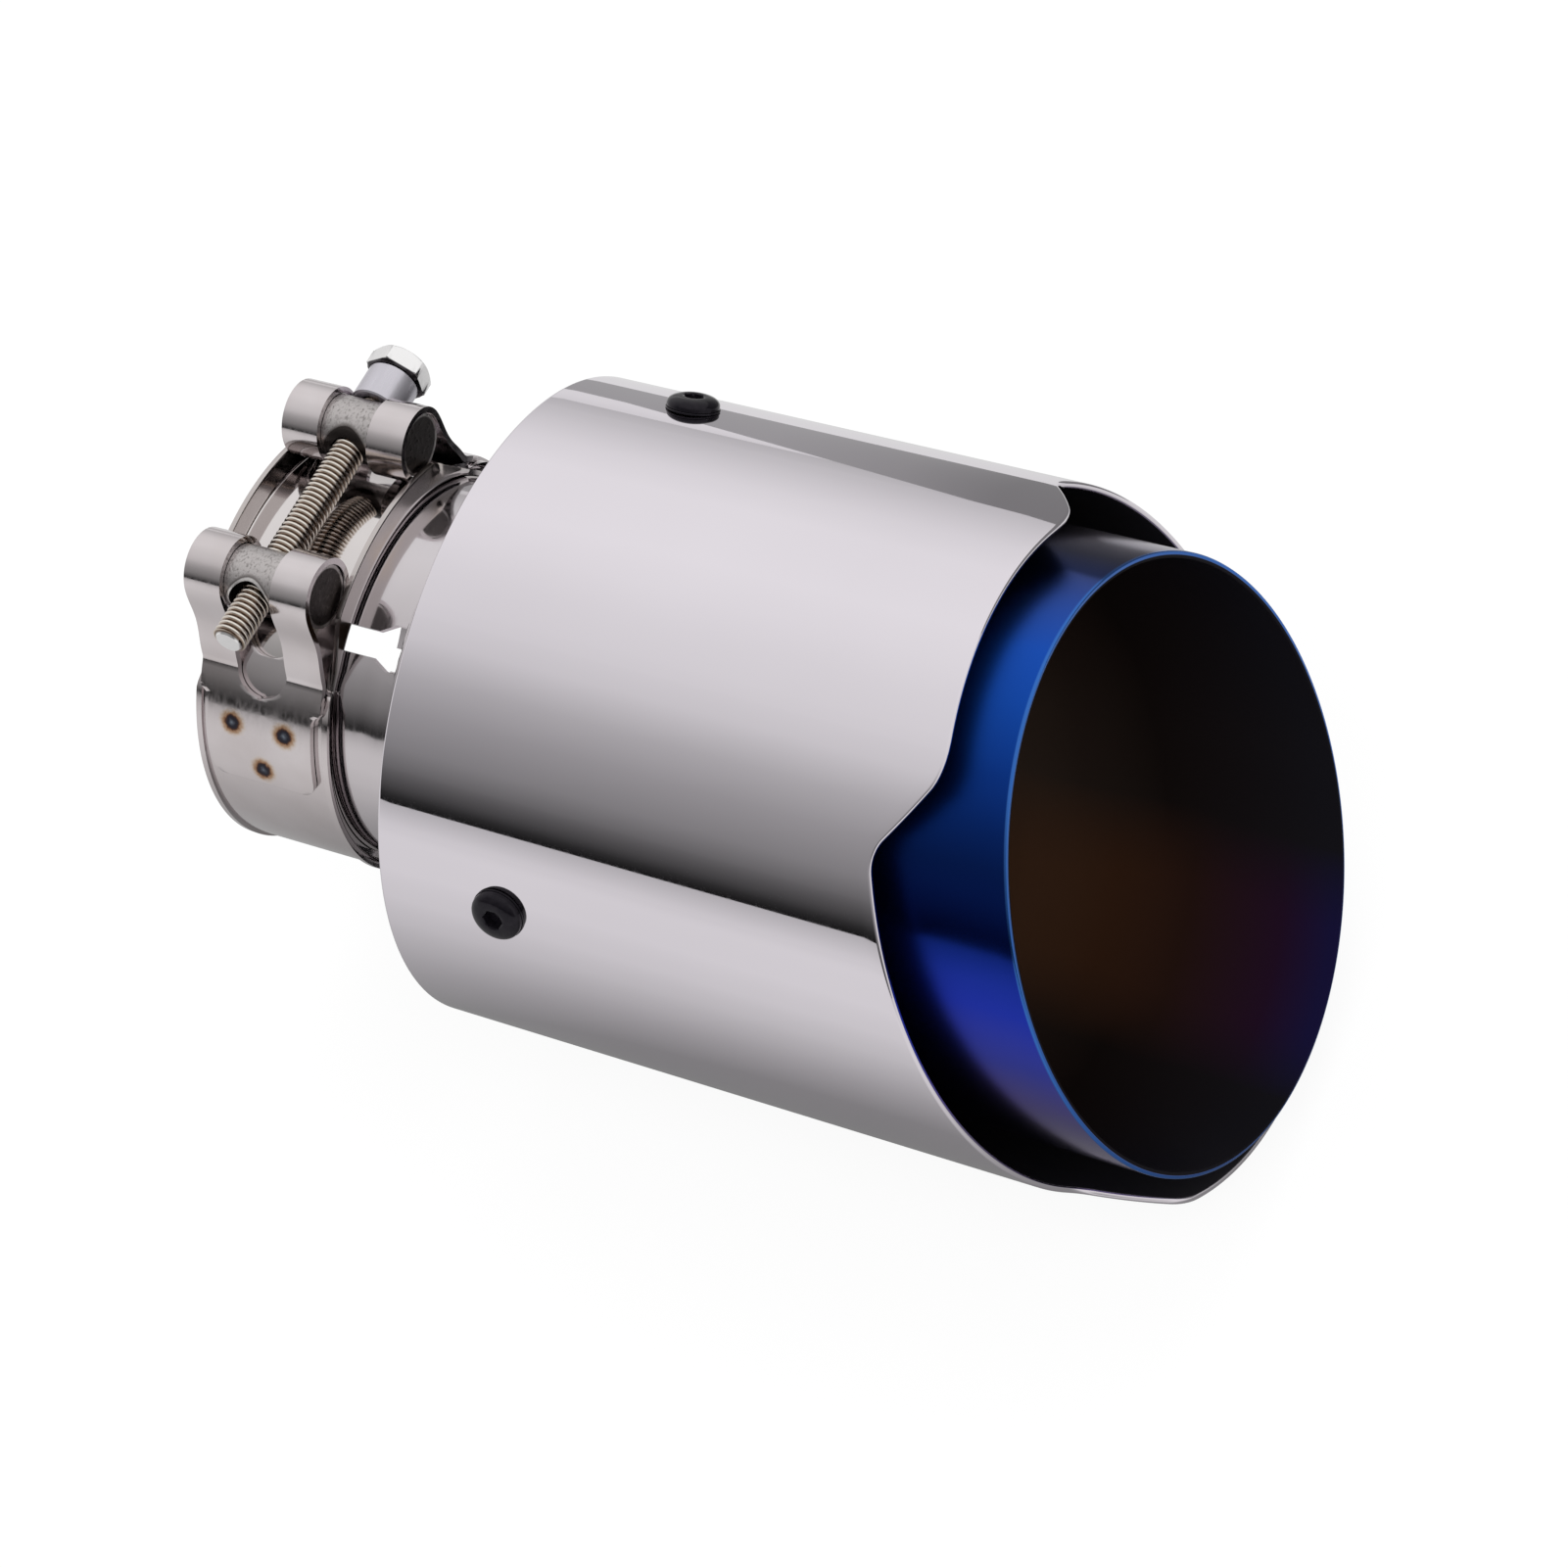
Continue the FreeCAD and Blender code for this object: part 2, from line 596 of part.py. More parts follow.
def rolled_edge(side):
    """The band's edge rolled up on one side, from beside the loop to the bottom, its end cut slantwise."""
    centre = size["clamp_centre"].number
    thick = size["strap_thickness"].number
    rim = band_outer.number + size["rim_height"].number
    root = centre + side * (size["strap_width"].number / 2 - thick / 2)
    edge = centre + side * size["clamp_width"].number / 2
    bend = edge - side * size["rim_round"].number
    section = [Vector(root, 0, band_inner.number), Vector(bend, 0, band_inner.number),
               Vector(edge, 0, band_inner.number + size["rim_round"].number), Vector(edge, 0, rim),
               Vector(root, 0, band_outer.number)]
    face = Part.Face(Part.makePolygon(section + section[:1]))
    start = size["rim_start_angle"].number
    axis = Vector(1, 0, 0)
    face.rotate(Vector(0, 0, 0), axis, start)
    ring = face.revolve(Vector(0, 0, 0), axis, 180 - start)
    strap_edge = Vector(centre + side * size["strap_width"].number / 2, 0, 0)
    beyond = Vector(edge + side * size["cut_overrun"].number, 0, 0)
    end = polar(start, rim + size["cut_overrun"].number)
    full = polar(start + size["rim_taper"].number, rim + size["cut_overrun"].number)
    corner = Part.Face(Part.makePolygon([end + strap_edge, full + beyond, end + beyond, end + strap_edge]))
    inward = polar(start, neck_bore.number) - polar(start, rim + size["cut_overrun"].number)
    return ring.cut(corner.extrude(inward))


def tab_trim(side):
    """What is cut off the strap's folded end on one side to leave the narrower tab."""
    centre = size["clamp_centre"].number
    inner = band_outer.number + size["fit_gap"].number / 2
    outer = inner + size["strap_thickness"].number * 2
    tab_edge = centre + side * size["tab_width"].number / 2
    beyond = centre + side * (size["strap_width"].number / 2 + size["cut_overrun"].number)
    base = Vector(min(tab_edge, beyond), 0, 0)
    width = abs(beyond - tab_edge)
    ring = Part.makeCylinder(outer, width, base, Vector(1, 0, 0))
    ring = ring.cut(Part.makeCylinder(inner, width, base, Vector(1, 0, 0)))
    return ring.common(wedge(size["tab_start_angle"].number, 90, neck_bore.number,
                             trunnion_radius.number, base.x, base.x + width))


# Clamp band: one strap, folded back round a pin at each end and spot-welded to itself.
def make_band():
    bends = strap_bends()
    strap = half_strap(bends, size["strap_width"].number).cut(bolt_slot())
    for side in (-1, 1):
        strap = strap.cut(tab_trim(side)).fuse(rolled_edge(side))
    mirrored = strap.mirror(Vector(0, 0, 0), Vector(0, 1, 0))
    static_shape("clamp_band", strap.fuse(mirrored).removeSplitter())


def pin_place():
    angle = math.radians(size["trunnion_angle"].number)
    radius = trunnion_radius.number
    return radius * math.sin(angle), radius * math.cos(angle)


# Trunnions: cross pins in the strap's loops; the near one is tapped, the far one is drilled.
def make_trunnions():
    side, height = pin_place()
    for label, sign, hole, flat in (("nut_trunnion", -1, bolt_radius + size["fit_gap"] / 3, False),
                                    ("plain_trunnion", 1, bolt_radius + size["bolt_hole_gap"], True)):
        body = new_body(label)
        round_bar = new_sketch(body, "YZ_Plane", label + "_section")
        draw_circle(round_bar, (ZERO, ZERO), size["trunnion_diameter"] / 2)
        pad(body, round_bar, label + "_bar", size["trunnion_length"], midplane=True)
        drill = new_sketch(body, "XZ_Plane", label + "_hole")
        draw_circle(drill, (ZERO, ZERO), hole)
        pocket(body, drill, label + "_bore", size["trunnion_diameter"] * 2, midplane=True)
        if flat:
            seat = new_sketch(body, "XZ_Plane", label + "_seat", -size["trunnion_flat"])
            draw_circle(seat, (ZERO, ZERO), size["spacer_diameter"] / 2 + size["fit_gap"])
            pocket(body, seat, label + "_seat_cut", size["trunnion_diameter"], reverse=False)
        else:
            sink = new_sketch(body, "XZ_Plane", label + "_sink",
                              size["trunnion_diameter"] / 2 - size["nut_sink_depth"])
            draw_circle(sink, (ZERO, ZERO), size["nut_sink_diameter"] / 2)
            pocket(body, sink, label + "_sink_cut", size["trunnion_diameter"], reverse=True)
        body.Placement = Placement(Vector(size["clamp_centre"].number, sign * side, height), Rotation())


# Bolt and spacer: hexagon-head bolt through both pins, its head stood off by a tube.
def make_bolt():
    side, height = pin_place()
    head_face = side + size["trunnion_flat"].number + size["spacer_length"].number
    towards_head = Rotation(Vector(1, 0, 0), -90)
    spacer = new_body("bolt_spacer")
    tube = new_sketch(spacer, "XY_Plane", "spacer_section")
    draw_circle(tube, (ZERO, ZERO), size["spacer_diameter"] / 2)
    draw_circle(tube, (ZERO, ZERO), bolt_radius + size["bolt_hole_gap"])
    pad(spacer, tube, "spacer_tube", size["spacer_length"])
    seat = side + size["trunnion_flat"].number
    spacer.Placement = Placement(Vector(size["clamp_centre"].number, seat, height), towards_head)
    bolt = new_body("clamp_bolt")
    head = new_sketch(bolt, "XY_Plane", "bolt_head_outline")
    draw_hexagon(head, size["bolt_head_flats"])
    pad(bolt, head, "bolt_head", size["bolt_head_height"])
    corner_cut = new_sketch(bolt, "XZ_Plane", "bolt_head_bevel_outline")
    flat = size["bolt_head_flats"] / 2
    beyond = flat * 2
    lost = size["bolt_head_bevel"] * (beyond.number - flat.number) / (flat.number * (2 / math.sqrt(3) - 1))
    draw_outline(corner_cut, [(flat, size["bolt_head_height"]), (beyond, size["bolt_head_height"] - lost),
                              (beyond, size["bolt_head_height"])])
    turned_off = bolt.newObject("PartDesign::Groove", "bolt_head_corners")
    turned_off.Profile = corner_cut
    turned_off.ReferenceAxis = (origin_part(bolt, "Z_Axis"), [""])
    turned_off.Angle = 360
    shank = new_sketch(bolt, "XZ_Plane", "bolt_shank_section")
    end = -size["bolt_length"]
    bevel = size["bolt_tip_bevel"]
    draw_outline(shank, [(ZERO, ZERO), (bolt_radius, ZERO), (bolt_radius, end + bevel),
                         (bolt_radius - bevel, end), (ZERO, end)])
    shaft = bolt.newObject("PartDesign::Revolution", "bolt_shank")
    shaft.Profile = shank
    shaft.ReferenceAxis = (origin_part(bolt, "Z_Axis"), [""])
    shaft.Angle = 360
    bolt.Placement = Placement(Vector(size["clamp_centre"].number, head_face, height), towards_head)


def build():
    make_neck()
    make_cone()
    make_inner_tip()
    make_sleeve()
    make_fixings()
    make_bridge()
    make_band()
    make_trunnions()
    make_bolt()
    doc.recompute()


NODES = ["neck_tube", "rear_cone", "inner_tip", "outer_sleeve", "clamp_bridge", "clamp_band",
         "nut_trunnion", "plain_trunnion", "bolt_spacer", "clamp_bolt"]
NODES += ["%s_%d" % (kind, index) for kind in ("sleeve_screw", "screw_washer", "screw_boss")
          for index in (1, 2, 3)]


def export():
    """Check every object, then write one STEP file for each piece."""
    for item in doc.Objects:
        if "Invalid" in item.State or "Error" in item.State:
            raise RuntimeError("%s failed: %s" % (item.Label, item.State))
    by_label = {item.Label: item for item in doc.Objects}
    os.makedirs("parts", exist_ok=True)
    for label in NODES:
        shape = by_label[label].Shape
        if shape.isNull() or not shape.isValid() or len(shape.Solids) != 1:
            raise RuntimeError("%s is not one valid solid" % label)
        shape.exportStep("parts/%s.step" % label)
        print("%-16s volume %9.1f" % (label, shape.Volume))


build()
export()
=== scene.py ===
import math

import bmesh
import bpy
from mathutils import Matrix, Vector


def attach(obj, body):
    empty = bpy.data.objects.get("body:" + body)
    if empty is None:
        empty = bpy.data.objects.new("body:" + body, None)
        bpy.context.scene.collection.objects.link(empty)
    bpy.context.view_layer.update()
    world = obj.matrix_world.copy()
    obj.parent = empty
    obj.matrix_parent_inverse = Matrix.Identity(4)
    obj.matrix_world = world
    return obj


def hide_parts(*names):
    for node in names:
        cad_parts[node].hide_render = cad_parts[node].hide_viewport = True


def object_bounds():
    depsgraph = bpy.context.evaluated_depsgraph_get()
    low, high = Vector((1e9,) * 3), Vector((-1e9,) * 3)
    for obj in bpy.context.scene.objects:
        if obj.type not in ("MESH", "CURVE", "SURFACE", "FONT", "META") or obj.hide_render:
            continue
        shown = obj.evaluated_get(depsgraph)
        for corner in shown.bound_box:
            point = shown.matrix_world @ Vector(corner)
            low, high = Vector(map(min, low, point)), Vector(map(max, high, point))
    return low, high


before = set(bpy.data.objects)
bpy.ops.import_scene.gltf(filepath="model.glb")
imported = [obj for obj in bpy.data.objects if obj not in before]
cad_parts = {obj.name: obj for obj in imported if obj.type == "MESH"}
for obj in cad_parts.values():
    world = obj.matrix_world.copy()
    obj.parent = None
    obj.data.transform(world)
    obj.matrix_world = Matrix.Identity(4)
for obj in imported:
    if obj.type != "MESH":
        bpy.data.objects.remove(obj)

cad_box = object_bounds()

# Camera: a long lens that looks down on the clamp side and along the sleeve to the mouth,
# set from the edges of the tubes in the photograph.
camera_data = bpy.data.cameras.new("camera")
camera_data.lens = 80.61
camera_data.sensor_width = 36
camera = bpy.data.objects.new("camera", camera_data)
bpy.context.scene.collection.objects.link(camera)
camera.matrix_world = Matrix(((0.8988, -0.2422, 0.3655, 0.3152),
                              (0.4051, 0.7778, -0.4808, -0.29145),
                              (-0.1678, 0.5802, 0.7971, 0.47518),
                              (0, 0, 0, 1)))
bpy.context.scene.camera = camera
bpy.context.scene.view_settings.view_transform = "Standard"


# Studio: white sweep, two soft lamps, and a light tent and a grey card that only the metal sees.
# The tent's bright roof and dark strip, the shaded floor and the card give the sleeve its bands.
TENT_RADIUS = 6
TENT_EDGE = 82.0
TENT_TONES = ((-180, 0.2), (-165, 0.5), (-138, 0.85), (-125, 0.72), (-117, 0.36), (-101, 0.40), (-89, 0.60),
              (-76, 0.76), (-64, 0.90), (-52, 0.98), (-27, 1.0), (-14, 0.96), (-1, 0.90), (11, 0.86),
              (24, 0.76), (37, 0.53), (49, 0.39), (62, 0.28), (70, 0.164), (75, 0.085), (79, 0.03), (82, 0.01))
FLOOR_SIZE = 16
FLOOR_SHADOW_TONES = ((0.0, 0.16), (0.055, 0.20), (0.08, 0.34), (0.10, 0.46), (0.13, 0.60), (0.18, 0.72), (0.30, 0.80),
               (0.9, 0.82))
CARD_Y = 0.24
CARD_TOP = ((-0.60, -0.02), (-0.15, 0.0), (-0.04, 0.012), (0.064, 0.077), (0.30, 0.228), (0.55, 0.30))
CARD_TONES = ((0.0, 0.60), (0.09, 0.40), (0.19, 0.415), (0.28, 0.40), (0.36, 0.34), (0.42, 0.25), (0.6, 0.23))
LAMPS = (("key_lamp", (0.3, -0.9, 1.4), 14), ("top_lamp", (-0.4, 0.7, 1.6), 10))
LAMP_SIZE = 1.2
LAMPS_AIM = Vector((0.09, 0, 0))


def worked_out(nodes, links, operation, *values):
    """The result of one operation on values that are numbers or sockets."""
    node = nodes.new("ShaderNodeMath")
    node.operation = operation
    for socket, value in zip(node.inputs, values):
        if isinstance(value, (int, float)):
            socket.default_value = value
        else:
            links.new(value, socket)
    return node.outputs[0]


def vector_result(nodes, links, operation, place, other=(0, 0, 0)):
    """A place worked on with a fixed vector. A length or a distance comes out as a number."""
    node = nodes.new("ShaderNodeVectorMath")
    node.operation = operation
    links.new(place, node.inputs[0])
    node.inputs[1].default_value = other
    return node.outputs["Value" if operation in ("LENGTH", "DISTANCE") else "Vector"]


def span(nodes, links, value, low, high, start=0.3, end=0.7):
    """The value between start and end, turned into one between low and high."""
    scaled = nodes.new("ShaderNodeMapRange")
    scaled.inputs["From Min"].default_value = start
    scaled.inputs["From Max"].default_value = end
    scaled.inputs["To Min"].default_value = low
    scaled.inputs["To Max"].default_value = high
    links.new(value, scaled.inputs["Value"])
    return scaled.outputs["Result"]


def mixed(nodes, links, factor, first, second):
    """Two colours, or the sockets of two, mixed by a factor."""
    blend = nodes.new("ShaderNodeMix")
    blend.data_type = "RGBA"
    links.new(factor, blend.inputs["Factor"])
    for socket, colour in (("A", first), ("B", second)):
        if isinstance(colour, tuple):
            blend.inputs[socket].default_value = (*colour, 1)
        else:
            links.new(colour, blend.inputs[socket])
    return blend.outputs["Result"]


def colour_ramp(nodes, links, value, stops):
    """A colour for each value from stops, each a position and a colour or a grey tone."""
    ramp = nodes.new("ShaderNodeValToRGB")
    bands = ramp.color_ramp.elements
    while len(bands) < len(stops):
        bands.new(0.5)
    for band, (position, colour) in zip(bands, stops):
        band.position = position
        band.color = (*colour, 1) if isinstance(colour, tuple) else (colour, colour, colour, 1)
    links.new(value, ramp.inputs[0])
    return ramp.outputs["Color"]


def separate(nodes, links, place):
    axes = nodes.new("ShaderNodeSeparateXYZ")
    links.new(place, axes.inputs[0])
    return axes.outputs["X"], axes.outputs["Y"], axes.outputs["Z"]


def turn_from_top(nodes, links, y_out, z_out):
    """The angle round the tube's axis, from the top and growing to the near side."""
    return worked_out(nodes, links, "ARCTAN2", worked_out(nodes, links, "MULTIPLY", y_out, -1), z_out)


def ray_switch(nodes, links):
    """One for rays that come from the camera or from gloss or glass, nought for the rest."""
    paths = nodes.new("ShaderNodeLightPath").outputs
    direct = worked_out(nodes, links, "MAXIMUM", paths["Is Camera Ray"], paths["Is Glossy Ray"])
    return paths["Is Glossy Ray"], worked_out(nodes, links, "MAXIMUM", direct, paths["Is Transmission Ray"])


def stage_material(name):
    material = bpy.data.materials.new(name)
    material.use_nodes = True
    nodes = material.node_tree.nodes
    nodes.clear()
    material.cycles.emission_sampling = "NONE"
    return material, nodes, material.node_tree.links, nodes.new("ShaderNodeTexCoord").outputs["Object"]


def glow_of(nodes, links, colour):
    glow = nodes.new("ShaderNodeEmission")
    links.new(colour, glow.inputs["Color"])
    return glow.outputs[0]


def stage_surface(nodes, links, surface):
    links.new(surface, nodes.new("ShaderNodeOutputMaterial").inputs["Surface"])


def stage_for_gloss(thing, material):
    """Stage that is seen in the metal's gloss and lights or shades nothing itself."""
    thing.data.materials.append(material)
    thing.visible_camera = False
    thing.visible_diffuse = False
    thing.visible_transmission = False
    thing.visible_shadow = False


world = bpy.data.worlds.new("white_room")
bpy.context.scene.world = world
world.use_nodes = True
nodes = world.node_tree.nodes
links = world.node_tree.links
backdrop = nodes["Background"]
backdrop.inputs["Color"].default_value = (1, 1, 1, 1)
in_gloss, seen = ray_switch(nodes, links)
links.new(span(nodes, links, seen, 0.8, 1.0, 0, 1), backdrop.inputs["Strength"])

bpy.ops.mesh.primitive_uv_sphere_add(segments=64, ring_count=32, radius=TENT_RADIUS)
tent = bpy.context.object
tent.name = "light_tent"
cloth, nodes, links, place = stage_material("tent_cloth")
x_out, y_out, z_out = separate(nodes, links, place)
turn = turn_from_top(nodes, links, y_out, z_out)
roof = colour_ramp(nodes, links, span(nodes, links, turn, 0, 1, -math.pi, math.pi),
                   [((angle + 180) / 360, tone) for angle, tone in TENT_TONES])
below_edge = worked_out(nodes, links, "GREATER_THAN", turn, math.radians(TENT_EDGE))
skirt = span(nodes, links, turn, 0.58, 0.80, math.radians(TENT_EDGE), math.radians(90))
walls = mixed(nodes, links, below_edge, roof, skirt)
at_ends = span(nodes, links, worked_out(nodes, links, "ABSOLUTE", x_out), 0, 1, 4.2, 5.8)
at_ends.node.interpolation_type = "SMOOTHSTEP"
tent_tone = mixed(nodes, links, at_ends, walls, (0.85, 0.84, 0.84))
stage_surface(nodes, links, glow_of(nodes, links, tent_tone))
stage_for_gloss(tent, cloth)

floor_level = cad_box[0][2]
bpy.ops.mesh.primitive_plane_add(size=FLOOR_SIZE, location=(0, 0, floor_level))
floor = bpy.context.object
floor.name = "white_floor"
paper, nodes, links, place = stage_material("floor_paper")
spread = nodes.new("ShaderNodeMapping")
spread.inputs["Location"].default_value = (-0.069, 0.020, 0)
spread.inputs["Scale"].default_value = (0.6, 1, 1)
links.new(place, spread.inputs["Vector"])
# For gloss rays the floor is painted darker close to the tube: a painted shadow of the object on the floor,
# seen in the metal.
shade = colour_ramp(nodes, links, vector_result(nodes, links, "LENGTH", spread.outputs[0]), FLOOR_SHADOW_TONES)
in_gloss, seen = ray_switch(nodes, links)
lit = glow_of(nodes, links, mixed(nodes, links, in_gloss, (1, 1, 1), shade))
matt = nodes.new("ShaderNodeBsdfDiffuse")
matt.inputs["Color"].default_value = (0.92, 0.92, 0.92, 1)
surface = nodes.new("ShaderNodeMixShader")
links.new(span(nodes, links, seen, 0, 0.9, 0, 1), surface.inputs[0])
links.new(matt.outputs[0], surface.inputs[1])
links.new(lit, surface.inputs[2])
stage_surface(nodes, links, surface.outputs[0])
floor.data.materials.append(paper)

corners = len(CARD_TOP)
card_mesh = bpy.data.meshes.new("grey_card")
card_points = [(x, CARD_Y, z) for x, z in CARD_TOP] + [(x, CARD_Y, floor_level) for x, z in CARD_TOP]
card_mesh.from_pydata(card_points, [], [(n, n + 1, n + 1 + corners, n + corners) for n in range(corners - 1)])
card = bpy.data.objects.new("grey_card", card_mesh)
bpy.context.scene.collection.objects.link(card)
card_paper, nodes, links, place = stage_material("card_paper")
x_out, y_out, z_out = separate(nodes, links, place)
card_tone = colour_ramp(nodes, links, span(nodes, links, x_out, 0, 1, -0.12, 0.30), CARD_TONES)
stage_surface(nodes, links, glow_of(nodes, links, card_tone))
stage_for_gloss(card, card_paper)

for name, spot, power in LAMPS:
    lamp_data = bpy.data.lights.new(name, "AREA")
    lamp_data.energy = power
    lamp_data.size = LAMP_SIZE
    lamp = bpy.data.objects.new(name, lamp_data)
    lamp.location = spot
    lamp.rotation_euler = (LAMPS_AIM - Vector(spot)).to_track_quat("-Z", "Y").to_euler()
    lamp.visible_glossy = False
    bpy.context.scene.collection.objects.link(lamp)

# Neck: drawn stainless tube, mirror bright, with four slots cut from its open end so that the
# clamp can close it on the tailpipe. Each slot ends in a wider square window.
MM = 0.001
NECK_RADIUS = 34.5
NECK_WALL = 1.2
NECK_LENGTH = 54.0
PETALS = 4
SLOT_HALF = 2.3
WINDOW_HALF = 3.95
WINDOW_STARTS = 32.2
WINDOW_FULL = 35.0
WINDOW_ENDS = 37.2
FIRST_SLOT = 30.0


def round_tube(x, radius, angle):
    """A point of a tube in millimetres, its angle from the top and growing to the near side."""
    turn = math.radians(angle)
    return (x, -radius * math.sin(turn), radius * math.cos(turn))


def between(start, end, count):
    return [start + (end - start) * step / count for step in range(count + 1)]


def mesh_from(build, name, weld):
    """The smooth mesh of a build, its doubled points joined and its faces turned outwards."""
    bmesh.ops.remove_doubles(build, verts=build.verts, dist=weld)
    bmesh.ops.recalc_face_normals(build, faces=build.faces)
    mesh = bpy.data.meshes.new(name)
    build.to_mesh(mesh)
    build.free()
    mesh.shade_smooth()
    return mesh


def link_piece(name, mesh, stands_for):
    piece = bpy.data.objects.new(name, mesh)
    bpy.context.scene.collection.objects.link(piece)
    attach(piece, "root")
    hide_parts(stands_for)
    return piece


def sheet_piece(name, patches, thickness, edge, stands_for):
    """A sheet-metal piece from the middle surface of each patch, its cut edges broken."""
    build = bmesh.new()
    for rows in patches:
        grid = [[build.verts.new(Vector(point) * MM) for point in row] for row in rows]
        for upper, lower in zip(grid, grid[1:]):
            for left in range(len(upper) - 1):
                build.faces.new((upper[left], upper[left + 1], lower[left + 1], lower[left]))
    piece = link_piece(name, mesh_from(build, name, 0.00001), stands_for)
    gauge = piece.modifiers.new("gauge", "SOLIDIFY")
    gauge.thickness = thickness * MM
    gauge.offset = 0
    gauge.use_even_offset = True
    broken = piece.modifiers.new("broken_edge", "BEVEL")
    broken.width = edge * MM
    broken.segments = 2
    broken.limit_method = "ANGLE"
    broken.angle_limit = math.radians(50)
    piece.modifiers.new("level_shading", "WEIGHTED_NORMAL")
    return piece


def new_finish(name, colour, roughness):
    """A metal shader with its coordinates, ready for the marks of one finish."""
    material = bpy.data.materials.new(name)
    material.use_nodes = True
    nodes = material.node_tree.nodes
    shader = nodes["Principled BSDF"]
    shader.inputs["Metallic"].default_value = 1.0
    shader.inputs["Base Color"].default_value = (*colour, 1)
    shader.inputs["Roughness"].default_value = roughness
    place = nodes.new("ShaderNodeTexCoord")
    return material, nodes, material.node_tree.links, shader, place.outputs["Object"]


def noise(nodes, links, place, scale, stretch=(1, 1, 1), detail=3):
    spread = nodes.new("ShaderNodeMapping")
    spread.inputs["Scale"].default_value = stretch
    links.new(place, spread.inputs["Vector"])
    texture = nodes.new("ShaderNodeTexNoise")
    texture.inputs["Scale"].default_value = scale
    texture.inputs["Detail"].default_value = detail
    links.new(spread.outputs[0], texture.inputs["Vector"])
    return texture.outputs["Fac"]


def relief(nodes, links, shader, height, distance, strength):
    bump = nodes.new("ShaderNodeBump")
    bump.inputs["Strength"].default_value = strength
    bump.inputs["Distance"].default_value = distance
    links.new(height, bump.inputs["Height"])
    links.new(bump.outputs["Normal"], shader.inputs["Normal"])


def clouded(nodes, links, place, scale, bright, dull):
    """Two near tones of the metal that change in slow clouds."""
    return mixed(nodes, links, span(nodes, links, noise(nodes, links, place, scale), 0, 1), bright, dull)


def polished_sheet(name, colour, shadow_colour, roughness, haze, ripple):
    """Buffed stainless: slight clouds of tone and gloss, and fine buffing lines round the tube."""
    material, nodes, links, shader, place = new_finish(name, colour, roughness)
    links.new(clouded(nodes, links, place, 24, colour, shadow_colour), shader.inputs["Base Color"])
    lines = noise(nodes, links, place, 260, (6, 0.5, 0.5), 2)
    links.new(span(nodes, links, lines, roughness, roughness + haze), shader.inputs["Roughness"])
    relief(nodes, links, shader, noise(nodes, links, place, 18, (1, 1, 1), 1), 0.001, ripple)
    return material


def neck_half_gap(x):
    """Half the gap between two petals of the neck at a distance from its open end."""
    if x > WINDOW_ENDS:
        return 0.0
    if x <= WINDOW_STARTS:
        return SLOT_HALF
    rise = min(1.0, (x - WINDOW_STARTS) / (WINDOW_FULL - WINDOW_STARTS))
    return SLOT_HALF + (WINDOW_HALF - SLOT_HALF) * rise


neck_middle = NECK_RADIUS - NECK_WALL / 2
neck_stations = (between(0.0, WINDOW_STARTS, 16) + [WINDOW_FULL, WINDOW_ENDS, WINDOW_ENDS + 0.02]
                 + between(WINDOW_ENDS + 1, NECK_LENGTH, 8))
petals = []
for petal in range(PETALS):
    first = FIRST_SLOT + petal * 360 / PETALS
    last = first + 360 / PETALS
    rows = []
    for x in neck_stations:
        inset = math.degrees(math.asin(neck_half_gap(x) / neck_middle))
        rows.append([round_tube(x, neck_middle, angle) for angle in between(first + inset, last - inset, 36)])
    petals.append(rows)
neck = sheet_piece("slotted_neck", petals, NECK_WALL, 0.15, "neck_tube")
neck.data.materials.append(polished_sheet("neck_steel_bright", (0.63, 0.595, 0.62), (0.575, 0.535, 0.55),
                                          0.07, 0.05, 0.10))

# Cone: spun stainless reducer, its collar welded over the neck and its rim to the inner tip.
# Only its back can be seen, in the gap behind the sleeve.
CONE_WALL = 1.2
CONE_START = 48.3
CONE_END = 65.0
TIP_RADIUS = 49.9
TIP_WALL = 1.2
ROUND_STEPS = 192

collar = NECK_RADIUS + 0.15 + CONE_WALL / 2
cone_line = [(CONE_START + 0.4, collar), (51, collar), (53.4, collar), (54.2, collar + 0.5),
             (55, collar + 1.4), (59.5, collar + 7.7), (64.0, TIP_RADIUS - TIP_WALL - 0.4),
             (CONE_END - 0.1, TIP_RADIUS - TIP_WALL / 2)]
cone_rows = []
for x, radius in cone_line:
    cone_rows.append([round_tube(x, radius, angle) for angle in between(0, 360, ROUND_STEPS)])
cone = sheet_piece("spun_cone", [cone_rows], CONE_WALL, 0.15, "rear_cone")
cone.data.materials.append(polished_sheet("cone_steel", (0.50, 0.48, 0.50), (0.36, 0.34, 0.38),
                                          0.22, 0.12, 0.15))

# Inner tip: rolled stainless tube, slash-cut, coloured by heat. Deep blue outside with a
# violet flush below, and brown to purple soot tones inside that are painted darker with depth,
# down to near black, as shade.
MOUTH_CENTRE = 168.4
MOUTH_SLOPE = math.tan(math.radians(20.5))
TIP_START = 65.15
TIP_STEPS = 288
HEAT_ROUND = ((-180, (0.05, 0.06, 0.34)), (-120, (0.10, 0.09, 0.30)), (-70, (0.16, 0.13, 0.20)),
              (-42, (0.12, 0.10, 0.16)), (-30, (0.036, 0.040, 0.10)), (-18, (0.032, 0.070, 0.29)),
              (0, (0.012, 0.076, 0.43)), (12, (0.008, 0.062, 0.36)), (25, (0.005, 0.036, 0.23)),
              (42, (0.005, 0.024, 0.155)), (55, (0.007, 0.026, 0.23)), (68, (0.016, 0.034, 0.38)),
              (80, (0.044, 0.056, 0.385)), (90, (0.12, 0.10, 0.37)), (102, (0.22, 0.19, 0.36)),
              (125, (0.20, 0.15, 0.34)), (180, (0.05, 0.06, 0.34)))
RIM_BLUE = (0.04, 0.15, 0.50)
